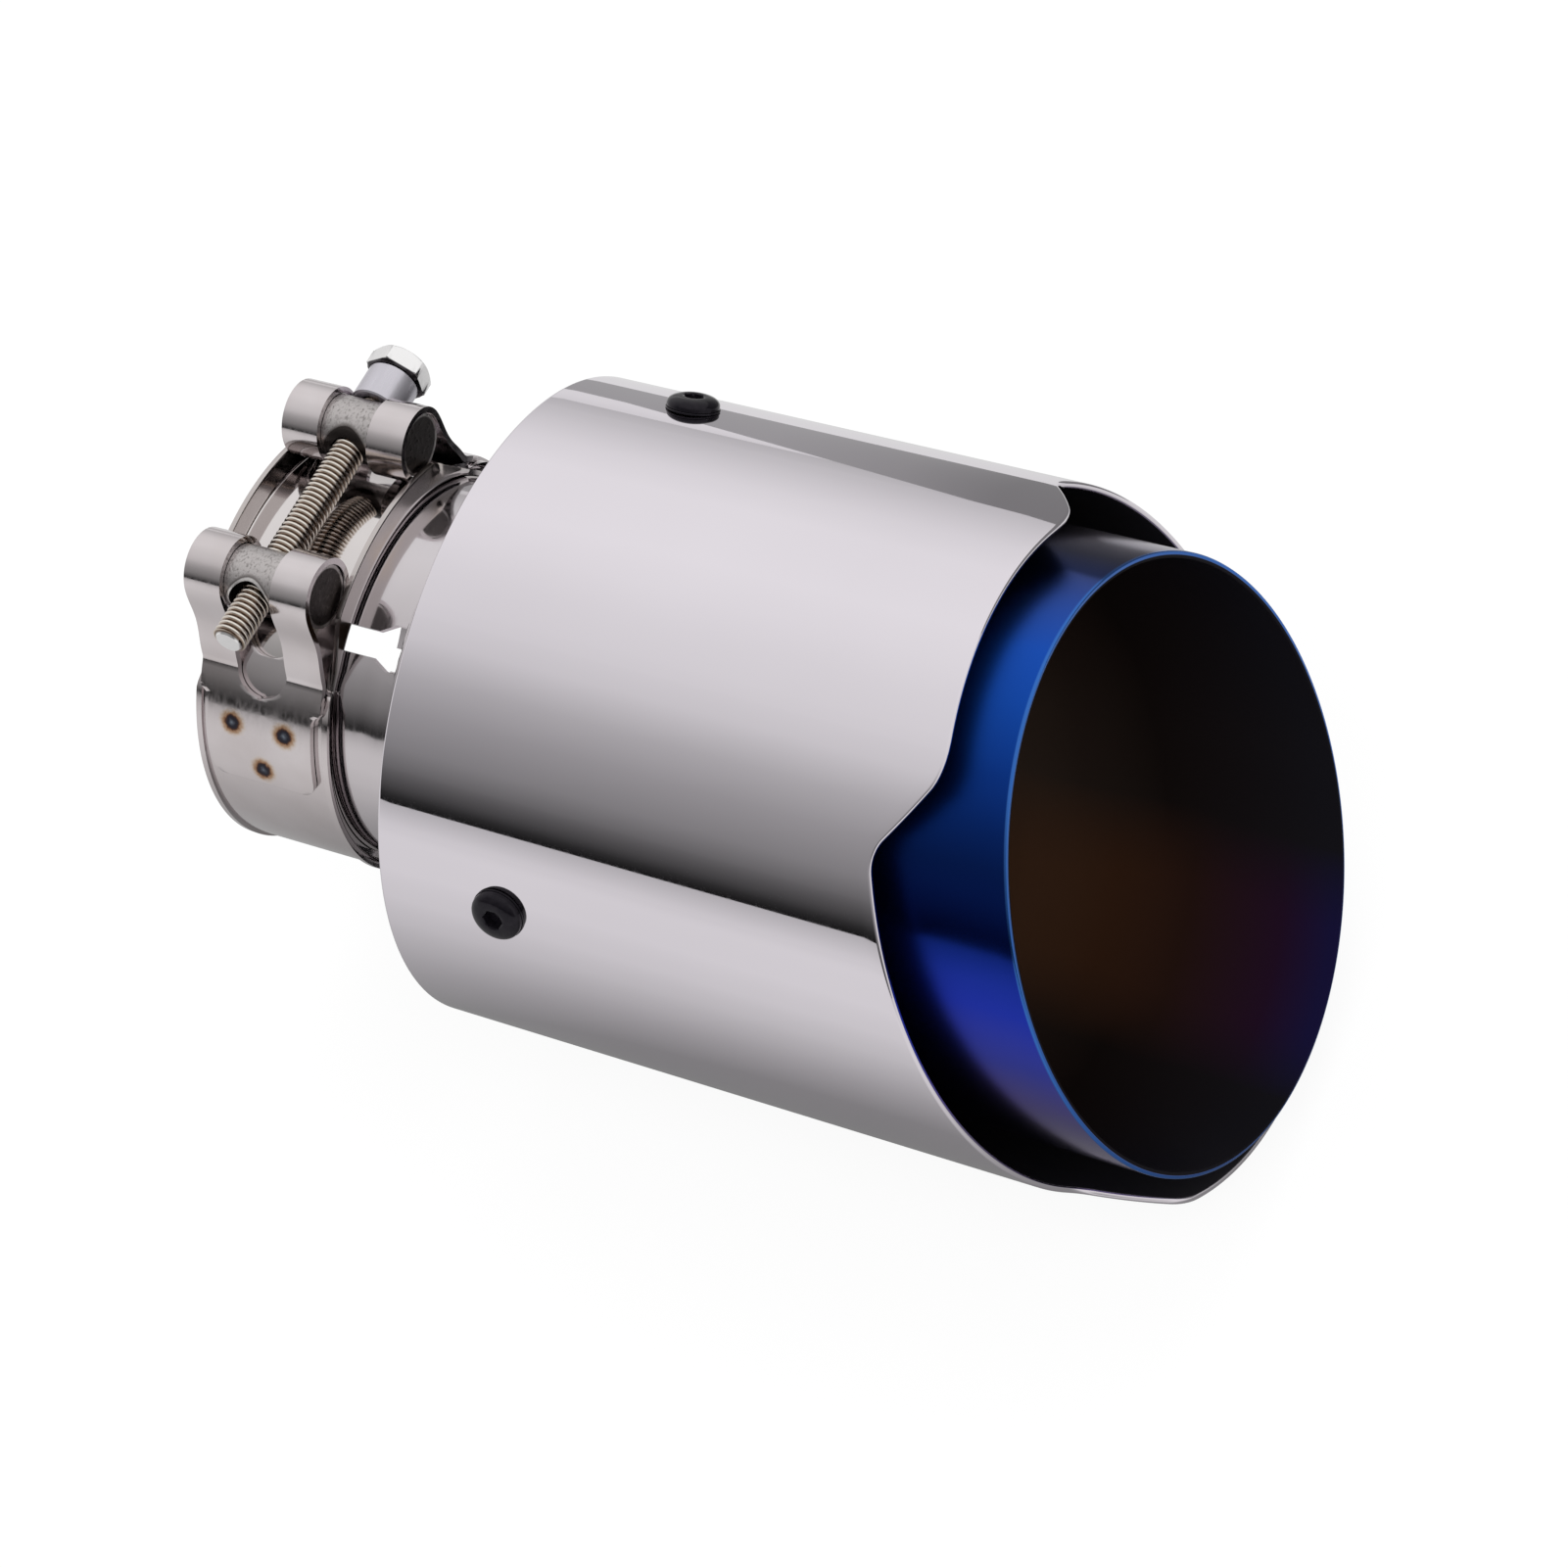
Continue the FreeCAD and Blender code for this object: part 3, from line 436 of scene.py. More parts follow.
SOOT_AND_SHADE_ALONG = ((0.0, (0.055, 0.036, 0.027)), (0.15, (0.046, 0.030, 0.022)), (0.35, (0.022, 0.014, 0.011)),
              (0.58, (0.0075, 0.0050, 0.0045)), (1.0, (0.006, 0.0055, 0.0075)))
STREAK_AND_SHADE_ALONG = ((0.0, (0.072, 0.034, 0.017)), (0.15, (0.068, 0.031, 0.016)), (0.39, (0.038, 0.015, 0.007)),
                (0.60, (0.018, 0.007, 0.005)), (0.85, (0.012, 0.0035, 0.013)), (0.98, (0.006, 0.0045, 0.028)))


def slanted_rows(radius, start, front, angles, steps):
    """The rows of a tube from a square end to a front edge whose reach is given at each angle."""
    rows = []
    for share_along in between(0.0, 1.0, steps):
        reaches = [start + (front(angle) - start) * share_along for angle in angles]
        rows.append([round_tube(x, radius, angle) for x, angle in zip(reaches, angles)])
    return rows


def distance_out(nodes, links, place, across=(0, 1, 1)):
    """Distance from an axis through the origin, which is the tube's own unless others are given."""
    return vector_result(nodes, links, "LENGTH", vector_result(nodes, links, "MULTIPLY", place, across))


tip_middle = TIP_RADIUS - TIP_WALL / 2


def tip_front(angle):
    return MOUTH_CENTRE - MOUTH_SLOPE * tip_middle * math.cos(math.radians(angle))


tip_rows = slanted_rows(tip_middle, TIP_START, tip_front, between(0, 360, TIP_STEPS), 30)
tip = sheet_piece("blued_tip", [tip_rows], TIP_WALL, 0.2, "inner_tip")
material, nodes, links, shader, place = new_finish("heat_blue", (0.02, 0.12, 0.6), 0.12)
x_out, y_out, z_out = separate(nodes, links, place)
clouds = noise(nodes, links, place, 30)
turned = span(nodes, links, turn_from_top(nodes, links, y_out, z_out), 0, 1, -math.pi, math.pi)
outside = colour_ramp(nodes, links, worked_out(nodes, links, "MULTIPLY_ADD", clouds, 0.02, turned),
                      [((angle + 180) / 360 + 0.01, colour) for angle, colour in HEAT_ROUND])
to_mouth = worked_out(nodes, links, "MULTIPLY_ADD", z_out, MOUTH_SLOPE, x_out)
# Inside, the soot tones and the browner streak along the bottom both darken with depth from the mouth: soot
# together with painted shade.
depth = span(nodes, links, to_mouth, 0, 1, 0.1, MOUTH_CENTRE * MM)
blotches = noise(nodes, links, place, 26, (1, 1, 1), 2)
soot_and_shade = colour_ramp(nodes, links, worked_out(nodes, links, "MULTIPLY_ADD", blotches, 0.12, depth), SOOT_AND_SHADE_ALONG)
streak_and_shade = colour_ramp(nodes, links, depth, STREAK_AND_SHADE_ALONG)
to_bottom = worked_out(nodes, links, "MULTIPLY_ADD", y_out, -0.268, z_out)
streak_edge = worked_out(nodes, links, "MULTIPLY_ADD", clouds, 0.003, to_bottom)
in_streak = span(nodes, links, streak_edge, 1, 0, -0.0480, -0.0430)
inside = mixed(nodes, links, in_streak, soot_and_shade, streak_and_shade)
wall_side = span(nodes, links, distance_out(nodes, links, place), 0, 1, 0.04925, 0.04935)
skin = mixed(nodes, links, wall_side, inside, outside)
rim = span(nodes, links, to_mouth, 0, 1, MOUTH_CENTRE * MM - 0.0004, MOUTH_CENTRE * MM - 0.0002)
outer_rim = worked_out(nodes, links, "MULTIPLY", rim, wall_side)
links.new(mixed(nodes, links, outer_rim, skin, RIM_BLUE), shader.inputs["Base Color"])
links.new(wall_side, shader.inputs["Metallic"])
links.new(span(nodes, links, wall_side, 0.5, 0.2, 0, 1), shader.inputs["Roughness"])
shader.inputs["Specular IOR Level"].default_value = 0.03
shader.inputs["Anisotropic"].default_value = 1.0
shader.inputs["Anisotropic Rotation"].default_value = 0.25
turned_round = nodes.new("ShaderNodeTangent")
turned_round.direction_type = "RADIAL"
turned_round.axis = "X"
links.new(turned_round.outputs[0], shader.inputs["Tangent"])
relief(nodes, links, shader, noise(nodes, links, place, 20, (1, 1, 1), 1), 0.001, 0.04)
tip.data.materials.append(material)

# Outer sleeve: rolled stainless tube polished to a mirror, its slanted front edge cut from the
# side so that a lobe stands at the top and a broad one below. The inside is dull and painted near
# black as shade of the gap round the inner tip.
SLEEVE_RADIUS = 57.0
SLEEVE_WALL = 1.2
SLEEVE_START = 49.2
LOBE_REACH = 162.7
LOBE_HEIGHT = 12.0
SLEEVE_SLOPE = math.tan(math.radians(21.0))
EDGE_BEYOND = 70.0
EDGE_CORNERS = ((28.3, 0.0, 3.5), (42.9, LOBE_HEIGHT, 3.5), (125.9, LOBE_HEIGHT, 6.8), (137.5, 0.0, 6.8))


def rounded_line(points, radii, steps=8):
    """A line through points with each inner corner turned on its own radius."""
    line = [points[0]]
    for before, corner, after, radius in zip(points, points[1:], points[2:], radii):
        corner = Vector(corner)
        back = (Vector(before) - corner).normalized()
        ahead = (Vector(after) - corner).normalized()
        half = math.acos(max(-1.0, min(1.0, back.dot(ahead)))) / 2
        run = radius / math.tan(half)
        centre = corner + (back + ahead).normalized() * (radius / math.sin(half))
        start = corner + back * run - centre
        end = corner + ahead * run - centre
        for share_round in between(0.0, 1.0, steps):
            spoke = start.lerp(end, share_round).normalized() * radius
            line.append(tuple(centre + spoke))
    return line + [points[-1]]


def edge_point(height, drop):
    """A point of the front edge's outline seen from the side, behind the lobes' slant by a drop."""
    return (height, LOBE_REACH - drop - SLEEVE_SLOPE * height)


edge_points = [edge_point(EDGE_BEYOND, 0)]
for angle, drop, radius in EDGE_CORNERS:
    edge_points.append(edge_point(SLEEVE_RADIUS * math.cos(math.radians(angle)), drop))
edge_points.append(edge_point(-EDGE_BEYOND, 0))
edge_line = rounded_line(edge_points, [radius for angle, drop, radius in EDGE_CORNERS])
sleeve_middle = SLEEVE_RADIUS - SLEEVE_WALL / 2


def sleeve_front(angle):
    """How far the sleeve's front edge reaches at an angle from the top."""
    height = sleeve_middle * math.cos(math.radians(angle))
    for (high, reach_high), (low, reach_low) in zip(edge_line, edge_line[1:]):
        if low <= height <= high:
            return reach_low + (reach_high - reach_low) * (height - low) / max(high - low, 1e-9)
    return LOBE_REACH


sleeve_angles = sorted(set(between(0.0, 360.0, 240) + between(24, 50, 52) + between(118, 146, 56)
                           + between(310, 336, 52) + between(214, 242, 56)))
sleeve_rows = slanted_rows(sleeve_middle, SLEEVE_START, sleeve_front, sleeve_angles, 36)
sleeve = sheet_piece("polished_sleeve", [sleeve_rows], SLEEVE_WALL, 0.5, "outer_sleeve")
sleeve.modifiers["broken_edge"].segments = 4
material, nodes, links, shader, place = new_finish("sleeve_mirror", (0.74, 0.70, 0.745), 0.03)
bright = clouded(nodes, links, place, 14, (0.75, 0.71, 0.755), (0.725, 0.685, 0.73))
wall_side = span(nodes, links, distance_out(nodes, links, place), 0, 1, 0.05588, 0.05592)
# The inner wall gets a near-black colour: painted shade of the gap between sleeve and tip.
links.new(mixed(nodes, links, wall_side, (0.022, 0.021, 0.024), bright), shader.inputs["Base Color"])
links.new(wall_side, shader.inputs["Metallic"])
shader.inputs["Specular IOR Level"].default_value = 0.15
lines = noise(nodes, links, place, 240, (5, 0.4, 0.4), 2)


def link_gloss(nodes, links, shader, factor, plain, marked):
    """Roughness from a plain number to a socket's, by a factor."""
    gloss = nodes.new("ShaderNodeMix")
    links.new(factor, gloss.inputs["Factor"])
    gloss.inputs["A"].default_value = plain
    links.new(marked, gloss.inputs["B"])
    links.new(gloss.outputs["Result"], shader.inputs["Roughness"])


link_gloss(nodes, links, shader, wall_side, 0.5, span(nodes, links, lines, 0.018, 0.045))
relief(nodes, links, shader, noise(nodes, links, place, 16, (1, 1, 1), 1), 0.001, 0.04)
sleeve.data.materials.append(material)

# Sleeve screws: three black button-head screws with hexagon sockets, each on a thin washer,
# driven into nuts that are welded on the inner tip out of sight.
SCREW_X = 71.7
SCREW_ANGLES = (70.5, -36.0, 197.5)
SCREW_STEPS = 72
WASHER = 0.35
BROW = 0.55
DOME = [(BROW + 1.35 * math.sin(math.radians(lean)), 1.95 + 2.55 * math.cos(math.radians(lean)))
        for lean in range(0, 91, 9)]
SCREW_SHANK = [(-7.0, 2.3), (-6.8, 2.5), (0.0, 2.5), (0.0, 4.35), (0.12, 4.5)]
WASHER_RINGS = [(0.0, 2.6), (0.0, 4.55), (0.08, 4.65), (0.28, 4.65), (WASHER, 4.55), (WASHER, 2.6), (0.0, 2.6)]


def turned_piece(name, rings, spot_of, steps, crease, stands_for):
    """A piece turned round an axis from rings of height and radius, each placed by spot_of."""
    build = bmesh.new()
    loops = []
    for height, radius in rings:
        loop = []
        for step in range(steps):
            around = 2 * math.pi * step / steps
            reach = radius(around) if callable(radius) else radius
            loop.append(build.verts.new(spot_of(height, reach, around) * MM))
        loops.append(loop)
    for upper, lower in zip(loops, loops[1:]):
        for left in range(steps):
            right = (left + 1) % steps
            build.faces.new((upper[left], upper[right], lower[right], lower[left]))
    if rings[0] != rings[-1]:
        build.faces.new(loops[0])
        build.faces.new(loops[-1])
    mesh = mesh_from(build, name, 0.000001)
    mesh.set_sharp_from_angle(angle=math.radians(crease))
    return link_piece(name, mesh, stands_for)


def upright_on_tube(x, radius, angle):
    """Places for a piece that stands out from the tube, its base at a radius."""
    turn = math.radians(angle)
    out = Vector((0, -math.sin(turn), math.cos(turn)))
    along = Vector((1, 0, 0))
    side = out.cross(along)
    base = Vector(round_tube(x, radius, angle))

    def spot_of(height, reach, around):
        return base + out * height + (along * math.cos(around) + side * math.sin(around)) * reach
    return spot_of


def hexagon(flats, turn=0.0, limit=math.inf):
    """The radius of a hexagon across its flats at each angle, turned on and held within a limit."""
    def radius(around):
        lean = (around - turn + math.pi / 6) % (math.pi / 3) - math.pi / 6
        return min(flats / 2 / math.cos(abs(lean) - math.pi / 6), limit)
    return radius


def refinish(node_name, material):
    """A new finish on a node that stays as the solid has it."""
    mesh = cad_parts[node_name].data
    mesh.materials.clear()
    mesh.materials.append(material)


screw_black, nodes, links, shader, place = new_finish("black_oxide", (0.016, 0.015, 0.018), 0.2)
shader.inputs["Metallic"].default_value = 0.5
shader.inputs["Specular IOR Level"].default_value = 0.25
grain = noise(nodes, links, place, 900)
links.new(mixed(nodes, links, span(nodes, links, grain, 0, 1), (0.007, 0.006, 0.009), (0.014, 0.012, 0.016)),
          shader.inputs["Base Color"])
links.new(span(nodes, links, grain, 0.09, 0.16), shader.inputs["Roughness"])
relief(nodes, links, shader, grain, 0.0001, 0.12)
screw_rings = (SCREW_SHANK + DOME
               + [(BROW + 1.33, 1.86), (BROW + 1.2, hexagon(3.2)), (0.3, hexagon(3.0)), (0.2, 0.05)])
for index, angle in enumerate(SCREW_ANGLES, start=1):
    screw = turned_piece("button_screw_%d" % index, screw_rings,
                         upright_on_tube(SCREW_X, SLEEVE_RADIUS + WASHER, angle),
                         SCREW_STEPS, 32, "sleeve_screw_%d" % index)
    screw.data.materials.append(screw_black)
    washer = turned_piece("thin_washer_%d" % index, WASHER_RINGS,
                          upright_on_tube(SCREW_X, SLEEVE_RADIUS, angle),
                          SCREW_STEPS, 32, "screw_washer_%d" % index)
    washer.data.materials.append(screw_black)
    nut_steel = polished_sheet("weld_nut_%d" % index, (0.46, 0.44, 0.42), (0.3, 0.28, 0.26), 0.3, 0.2, 0.3)
    refinish("screw_boss_%d" % index, nut_steel)

# Clamp bridge: thin stainless plate that closes the gap under the bolt, with a low flange
# turned up along both of its edges beside the pins. A pip is pressed in each flange.
BRIDGE_MIDDLE = 35.1
BRIDGE_GAUGE = 0.9
BRIDGE_HALF_ANGLE = 125
CLAMP_CENTRE = 14.0
FLANGE_TOP = 40.0
FLANGE_LEVEL = 26
FLANGE_POINT = 49
FLANGE_POINT_RADIUS = 35.55
FLANGE_HALF_ANGLE = 46
FLANGE_FOOT = 11.9
FLANGE_BEND = ((FLANGE_FOOT, 0.0), (12.3, 0.08), (12.6, 0.32), (12.74, 0.7), (12.75, 1.1))
PIP_ANGLE = -27
PIP_RISE = 3.1
PIP_DEPTH = 0.45
PIP_SPREAD = 0.95


def across_clamp(angle, radius):
    """A point of the clamp seen along its axis, at an angle from the top."""
    return Vector((math.sin(math.radians(angle)), math.cos(math.radians(angle)))) * radius


def flange_height(angle):
    """The flange's height over the plate: level, then cut straight down to a point at each end."""
    if abs(angle) <= FLANGE_LEVEL:
        return FLANGE_TOP - BRIDGE_MIDDLE
    start = across_clamp(FLANGE_LEVEL, FLANGE_TOP)
    along = across_clamp(FLANGE_POINT, FLANGE_POINT_RADIUS) - start
    ray = across_clamp(abs(angle), 1)
    radius = (start.x * along.y - start.y * along.x) / (ray.x * along.y - ray.y * along.x)
    return radius - BRIDGE_MIDDLE


flange_angles = between(-FLANGE_HALF_ANGLE, FLANGE_HALF_ANGLE, 120)
plate_angles = (between(-BRIDGE_HALF_ANGLE, -FLANGE_HALF_ANGLE, 54)[:-1] + flange_angles
                + between(FLANGE_HALF_ANGLE, BRIDGE_HALF_ANGLE, 54)[1:])
plate_stations = between(CLAMP_CENTRE - FLANGE_FOOT, CLAMP_CENTRE + FLANGE_FOOT, 16)
bridge_rows = [[round_tube(x, BRIDGE_MIDDLE, angle) for x in plate_stations] for angle in plate_angles]
flange_rows = {-1: [], 1: []}
for angle in flange_angles:
    height = flange_height(angle)
    squash = min(1.0, height / 1.4)
    for side, rows in flange_rows.items():
        line = [(FLANGE_FOOT + (out - FLANGE_FOOT) * squash, rise * squash) for out, rise in FLANGE_BEND]
        line += [(line[-1][0], line[-1][1] + (height - line[-1][1]) * step / 8) for step in range(1, 9)]
        row = []
        for out, rise in line:
            away = math.hypot(math.radians(angle - PIP_ANGLE) * (BRIDGE_MIDDLE + rise), rise - PIP_RISE)
            pip = PIP_DEPTH * math.exp(-(away / PIP_SPREAD) ** 2)
            row.append(round_tube(CLAMP_CENTRE + side * (out + pip), BRIDGE_MIDDLE + rise, angle))
        rows.append(row)
bridge = sheet_piece("flanged_bridge", [bridge_rows, flange_rows[-1], flange_rows[1]], BRIDGE_GAUGE,
                     0.12, "clamp_bridge")
material, nodes, links, shader, place = new_finish("bridge_steel", (0.66, 0.62, 0.61), 0.1)
worn = noise(nodes, links, place, 40, (1, 1, 1), 2)
on_flange = span(nodes, links, distance_out(nodes, links, place), 0, 1, 0.0359, 0.0364)
plate_tone = mixed(nodes, links, span(nodes, links, worn, 0, 1), (0.70, 0.665, 0.66), (0.62, 0.58, 0.57))
flange_tone = mixed(nodes, links, span(nodes, links, worn, 0, 1, 0.4, 0.6),
                    (0.52, 0.48, 0.47), (0.60, 0.50, 0.40))
links.new(mixed(nodes, links, on_flange, plate_tone, flange_tone), shader.inputs["Base Color"])
brushed = noise(nodes, links, place, 160, (6, 1, 1), 2)
link_gloss(nodes, links, shader, on_flange, 0.07, span(nodes, links, brushed, 0.13, 0.24))
relief(nodes, links, shader, worn, 0.0004, 0.08)
bridge.data.materials.append(material)

# Clamp band: one stainless strap. Each end folds back round a pin in two ears and is spot-welded
# to the band by three spots that left rings of heat colour; the band's edges are rolled up.
BAND_MIDDLE = 36.25
STRAP_GAUGE = 1.1
STRAP_HALF = 12.0
LEG_BOW = 0.7
TAB_INSET = 1.7
TAB_CORNER = 2.5
EAR_SLOT_HALF = 4.9
ROLL_STARTS = 47.0
ROLL_RUN = 6.0
ROLL = ((0, 0), (0.3, 0.05), (0.52, 0.22), (0.63, 0.55), (0.65, 1.1))
PIN_SIDE = 17.298
PIN_HEIGHT = 40.457
CENTRE = Vector((0, 0))
STRAP_BENDS = ((CENTRE, 37.5, 167.0, 135.5), (Vector((-28.566, 28.071)), 2.55, 315.5, 349.212),
               (Vector((-PIN_SIDE, PIN_HEIGHT)), 6.2, 169.212, -51.597),
               (CENTRE, BAND_MIDDLE, 128.403, 270.0))
TAB = 0
LOOP = 2
BAND = 3
WELD_SPOTS = ((8.6, 60.2), (19.0, 60.2), (14.3, 72.2))
WELD_RADIUS = 38.05
SPOT_TONES = ((0.0, (0.15, 0.17, 0.20)), (0.14, (0.07, 0.075, 0.095)), (0.26, (0.028, 0.027, 0.036)),
              (0.38, (0.030, 0.024, 0.030)), (0.46, (0.085, 0.042, 0.028)), (0.54, (0.30, 0.17, 0.10)),
              (0.70, (0.46, 0.34, 0.25)), (0.9, (0.60, 0.52, 0.46)))


def strap_line(step=0.1):
    """Points along the strap's middle line from the tab to the bottom, with the bend each is on."""
    points = []
    for number, (centre, radius, start, end) in enumerate(STRAP_BENDS):
        count = max(2, int(abs(math.radians(end - start)) * radius / step))
        arc = []
        for angle in between(start, end, count):
            turn = math.radians(angle)
            arc.append(centre + Vector((math.cos(turn), math.sin(turn))) * radius)
        if points:
            last = points[-1][0]
            runs = max(1, int((arc[0] - last).length / step))
            leg = (arc[0] - last).normalized()
            bow = Vector((leg.y, -leg.x)) * (LEG_BOW if number == LOOP else 0.0)
            for share_along in between(0, 1, runs)[1:-1]:
                spot = last.lerp(arc[0], share_along) + bow * math.sin(math.pi * share_along) ** 2
                points.append((spot, number - 0.5))
        points += [(spot, number) for spot in arc]
    return points


def slot_half(spot, bend):
    """Half the ear slot's width at a point, narrowing to nothing round the slot's ends."""
    if bend == LOOP:
        return EAR_SLOT_HALF
    end_angle = 44.0 if bend < LOOP else 33.0
    past = math.atan2(-spot.x, spot.y) - math.radians(end_angle)
    if past <= 0:
        return EAR_SLOT_HALF
    beyond = spot.length * math.sin(past)
    return math.sqrt(max(0.0, EAR_SLOT_HALF ** 2 - beyond ** 2)) if past < 0.5 else 0.0


def strap_half(spot, bend, walked):
    """Half the strap's width at a point: narrow on the tab, with its end corners rounded."""
    if bend != TAB:
        return STRAP_HALF
    angle = math.degrees(math.atan2(-spot.x, spot.y))
    half = STRAP_HALF - TAB_INSET * min(1.0, max(0.0, (angle - 52.0) / 2.0))
    if walked < TAB_CORNER:
        half -= TAB_CORNER - math.sqrt(max(0.0, TAB_CORNER ** 2 - (TAB_CORNER - walked) ** 2))
    return half


def strap_stations():
    """The strap's cross-sections, close together only where its width or its slot changes."""
    stations = []
    walked = 0.0
    line = strap_line()
    before = line[0][0]
    for number, (spot, bend) in enumerate(line):
        walked += (spot - before).length
        before = spot
        slot = slot_half(spot, bend)
        half = strap_half(spot, bend, walked)
        if stations and number < len(line) - 1:
            kept_slot, kept_half = stations[-1][1:3]
            closes = slot == 0.0 and kept_slot > 0.0
            changes = abs(slot - kept_slot) > 0.45 or abs(half - kept_half) > 0.35
            if walked - last < 0.8 and not changes and not closes:
                continue
        last = walked
        stations.append((spot, slot, half, bend))
    return stations


def band_patches(side):
    """The two ears and the two rolled edges of the strap on one side of the clamp."""
    ears = {-1: [], 1: []}
    rolls = {-1: [], 1: []}
    for spot, slot, half, bend in strap_stations():
        angle = math.degrees(math.atan2(-spot.x, spot.y)) % 360
        rolled = bend == BAND and angle >= ROLL_STARTS
        lift = min(1.0, (angle - ROLL_STARTS) / ROLL_RUN)
        for edge in (-1, 1):
            across = [CLAMP_CENTRE + edge * out for out in between(half, slot, 8)]
            ears[edge].append([(x, spot.x * side, spot.y) for x in across])
            if rolled:
                row = []
                for out, rise in ROLL:
                    lifted = spot + spot.normalized() * (rise * lift)
                    row.append((CLAMP_CENTRE + edge * (STRAP_HALF + out * lift), lifted.x * side, lifted.y))
                rolls[edge].append(row)
    return [ears[-1], ears[1], rolls[-1], rolls[1]]


band = sheet_piece("folded_band", band_patches(1) + band_patches(-1), STRAP_GAUGE,
                   0.14, "clamp_band")
material, nodes, links, shader, place = new_finish("strap_steel", (0.66, 0.62, 0.61), 0.14)
bright = clouded(nodes, links, place, 60, (0.655, 0.61, 0.62), (0.56, 0.51, 0.51))
gaps = []
for side in (1, -1):
    for x, angle in WELD_SPOTS:
        spot = Vector(round_tube(x, WELD_RADIUS, angle * side)) * MM
        gaps.append(vector_result(nodes, links, "DISTANCE", place, spot))
nearest = gaps[0]
for gap in gaps[1:]:
    nearest = worked_out(nodes, links, "MINIMUM", nearest, gap)
wobble = worked_out(nodes, links, "MULTIPLY_ADD", noise(nodes, links, place, 1400), 0.0009, nearest)
heat = colour_ramp(nodes, links, span(nodes, links, wobble, 0, 1, 0.0004, 0.0035), SPOT_TONES)
spot_share = span(nodes, links, wobble, 1, 0, 0.0024, 0.0034)
links.new(mixed(nodes, links, spot_share, bright, heat), shader.inputs["Base Color"])
grain = noise(nodes, links, place, 500, (3, 1, 1), 2)
links.new(span(nodes, links, grain, 0.08, 0.17), shader.inputs["Roughness"])
relief(nodes, links, shader, noise(nodes, links, place, 70, (1, 1, 1), 1), 0.0004, 0.12)
band.data.materials.append(material)

# Trunnions: two tumbled steel cross pins in the strap's loops. The near one is tapped for the
# bolt and the far one drilled; their ends are darker inside a lighter rim.
PIN_BODY_HALF = 0.0113
# The lip tone is a painted highlight on the near pin's outlet and painted shade on the far pin's.
PINS = (("nut_trunnion", -PIN_SIDE, (0.80, 0.77, 0.76)), ("plain_trunnion", PIN_SIDE, (0.05, 0.042, 0.04)))
for name, pin_y, painted_lip_tone in PINS:
    material, nodes, links, shader, place = new_finish(name + "_tumbled", (0.45, 0.43, 0.42), 0.4)
    from_centre = vector_result(nodes, links, "SUBTRACT", place, Vector((CLAMP_CENTRE, pin_y, PIN_HEIGHT)) * MM)
    x_near, y_near, z_near = separate(nodes, links, from_centre)
    in_body = worked_out(nodes, links, "COMPARE", x_near, 0, PIN_BODY_HALF)
    pits = noise(nodes, links, place, 1500, (1.6, 1, 1), 5)
    body = mixed(nodes, links, span(nodes, links, pits, 0, 1, 0.3, 0.5),
                 (0.27, 0.25, 0.245), (0.50, 0.47, 0.465))
    on_end = span(nodes, links, distance_out(nodes, links, from_centre), 0, 1, 0.0048, 0.0051)
    disc = mixed(nodes, links, on_end, (0.05, 0.04, 0.038), (0.62, 0.585, 0.575))
    from_bolt = distance_out(nodes, links, from_centre, (1, 0, 1))
    # Round the bolt's outlet: the bore painted near black as shade, then a ring in the lip tone (painted
    # highlight or painted shade per pin), then a darker painted band.
    painted_bore_shade_and_lip = colour_ramp(nodes, links, span(nodes, links, from_bolt, 0, 1, 0.0030, 0.0050),
                      [(0.0, (0.03, 0.025, 0.024)), (0.60, (0.04, 0.034, 0.032)), (0.63, painted_lip_tone),
                       (0.76, painted_lip_tone), (0.82, (0.20, 0.18, 0.175)), (1.0, (0.42, 0.39, 0.385))])
    on_near_side = span(nodes, links, y_near, 1, 0, -0.0012, -0.0008)
    near_bolt = span(nodes, links, from_bolt, 1, 0, 0.0048, 0.0050)
    at_outlet = worked_out(nodes, links, "MULTIPLY", on_near_side, near_bolt)
    body = mixed(nodes, links, at_outlet, body, painted_bore_shade_and_lip)
    links.new(mixed(nodes, links, in_body, disc, body), shader.inputs["Base Color"])
    links.new(span(nodes, links, pits, 0.44, 0.24), shader.inputs["Roughness"])
    relief(nodes, links, shader, pits, 0.0002, 0.3)
    refinish(name, material)

# Bolt and spacer: bright hexagon-head bolt with a rolled M6 thread through both pins, its head
# held off the far pin by a short satin tube.
HEAD_FACE = 29.198
HEAD_FLATS = 10.0
HEAD_HEIGHT = 4.0
HEAD_TURN = math.radians(30)
BOLT_LENGTH = 60.0
SHANK_RADIUS = 2.95
THREAD_RADIUS = 2.98
THREAD_DEPTH = 0.5
PITCH = 1.0
SPACER_RINGS = [(-6.9, 3.2), (-6.9, 4.5), (-6.65, 4.75), (-0.25, 4.75), (0.0, 4.5), (0.0, 3.2), (-6.9, 3.2)]
THREAD_ROOT_DIRT_AND_SHADE_TONES = ((0.0, (0.10, 0.07, 0.05)), (0.22, (0.22, 0.16, 0.12)), (0.40, (0.56, 0.48, 0.41)),
                (0.58, (0.78, 0.73, 0.67)), (1.0, (0.88, 0.87, 0.87)))


def on_bolt(height, reach, around):
    """A point round the bolt's axis, its height measured from the head's seat."""
    return Vector((CLAMP_CENTRE + reach * math.cos(around), HEAD_FACE + height,
                   PIN_HEIGHT + reach * math.sin(around)))


def thread_radius(height):
    def radius(around):
        turn = (height / PITCH - around / (2 * math.pi)) % 1.0
        flank = abs(turn - 0.5) * 2
        return THREAD_RADIUS - THREAD_DEPTH * math.cos(math.pi * flank / 2) ** 4
    return radius


spacer = turned_piece("spacer_tube", SPACER_RINGS, on_bolt, 64, 34, "bolt_spacer")
spacer.data.materials.append(polished_sheet("satin_steel", (0.67, 0.65, 0.71), (0.52, 0.50, 0.54),
                                            0.24, 0.14, 0.3))

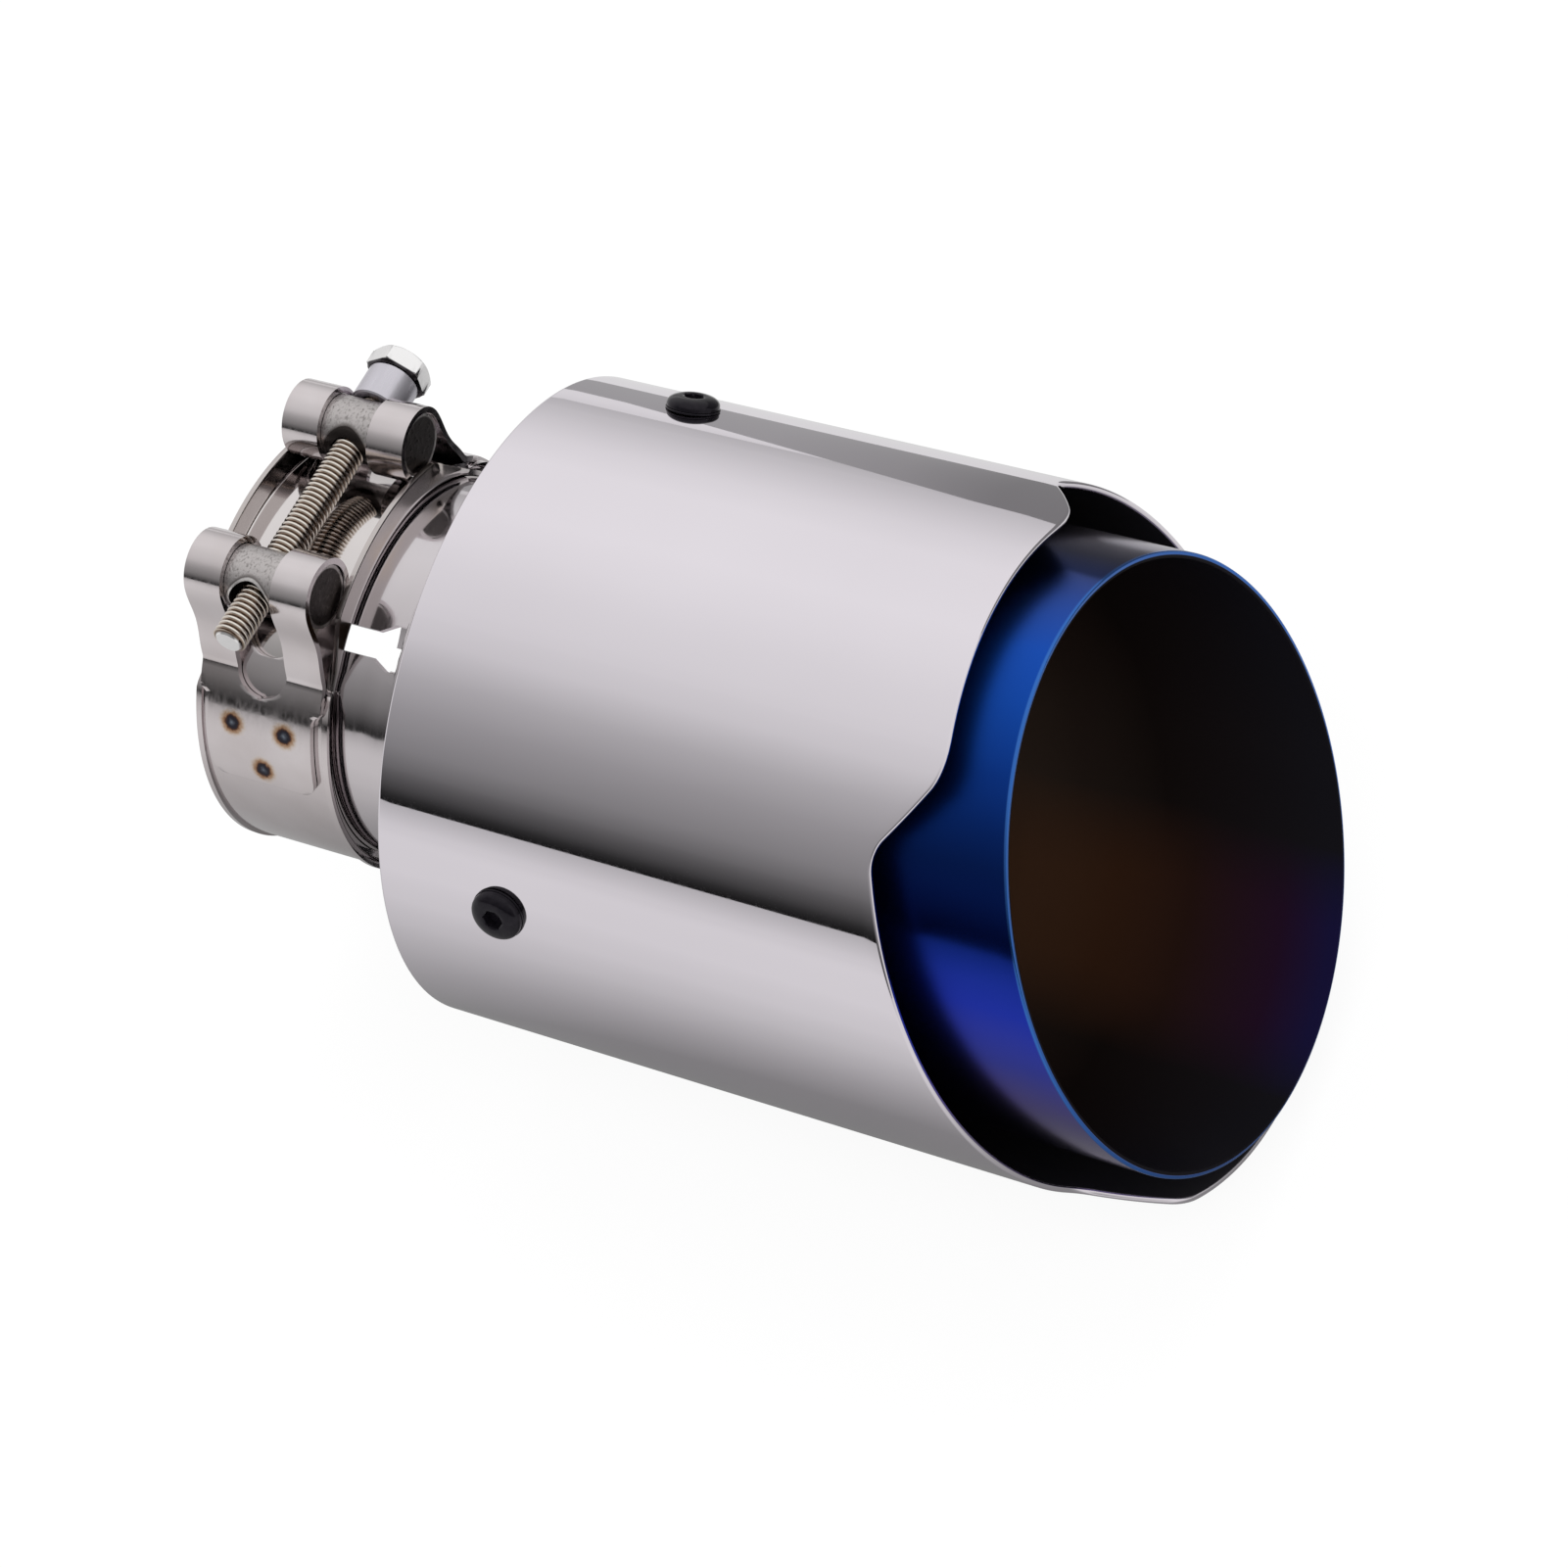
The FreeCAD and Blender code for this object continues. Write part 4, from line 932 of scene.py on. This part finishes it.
bolt_rings = [(-BOLT_LENGTH, 2.15), (-BOLT_LENGTH + 0.05, 2.22), (-BOLT_LENGTH + 0.45, 2.5)]
bolt_rings += [(height, thread_radius(height)) for height in between(-BOLT_LENGTH + 0.5, -7.0, 640)]
bolt_rings += [(height, SHANK_RADIUS) for height in (-6.6, -0.2, -0.01)]
bolt_rings += [(0.0, 4.6), (0.02, hexagon(HEAD_FLATS, HEAD_TURN, 4.9)),
               (0.35, hexagon(HEAD_FLATS, HEAD_TURN, 5.35)), (0.6, hexagon(HEAD_FLATS, HEAD_TURN)),
               (3.2, hexagon(HEAD_FLATS, HEAD_TURN))]
bolt_rings += [(height, hexagon(HEAD_FLATS, HEAD_TURN, 5.77 - (height - 3.2) * 1.35))
               for height in between(3.25, 3.95, 10)]
bolt_rings += [(HEAD_HEIGHT, 4.6), (HEAD_HEIGHT, 3.4), (HEAD_HEIGHT - 0.15, 3.2)]
bolt = turned_piece("threaded_bolt", bolt_rings, on_bolt, 72, 34, "clamp_bolt")
material, nodes, links, shader, place = new_finish("rolled_bolt_steel", (0.62, 0.57, 0.52), 0.2)
from_axis = vector_result(nodes, links, "SUBTRACT", place, Vector((CLAMP_CENTRE, 0, PIN_HEIGHT)) * MM)
x_out, y_out, z_out = separate(nodes, links, place)
out = distance_out(nodes, links, from_axis, (1, 0, 1))
# Thread colour by distance from the axis: roots painted dark brown, dirt together with painted shade; crests
# keep the bright metal.
thread = colour_ramp(nodes, links, span(nodes, links, out, 0, 1, 0.0024, 0.0034), THREAD_ROOT_DIRT_AND_SHADE_TONES)
seat_end = HEAD_FACE * MM
tip_end = (HEAD_FACE - BOLT_LENGTH) * MM
# The head's seat is painted near black: a painted shadow line where the head meets the spacer.
behind_seat = span(nodes, links, y_out, 1, 0, seat_end + 0.0004, seat_end + 0.0006)
past_shank = span(nodes, links, out, 0, 1, 0.0040, 0.0041)
painted_shadow_under_head = worked_out(nodes, links, "MULTIPLY", behind_seat, past_shank)
thread = mixed(nodes, links, painted_shadow_under_head, thread, (0.05, 0.045, 0.05))
at_end = span(nodes, links, y_out, 1, 0, tip_end + 0.0001, tip_end + 0.0004)
links.new(mixed(nodes, links, at_end, thread, (0.86, 0.85, 0.85)), shader.inputs["Base Color"])
links.new(span(nodes, links, noise(nodes, links, place, 300), 0.14, 0.24), shader.inputs["Roughness"])
relief(nodes, links, shader, noise(nodes, links, place, 900), 0.0002, 0.12)
bolt.data.materials.append(material)
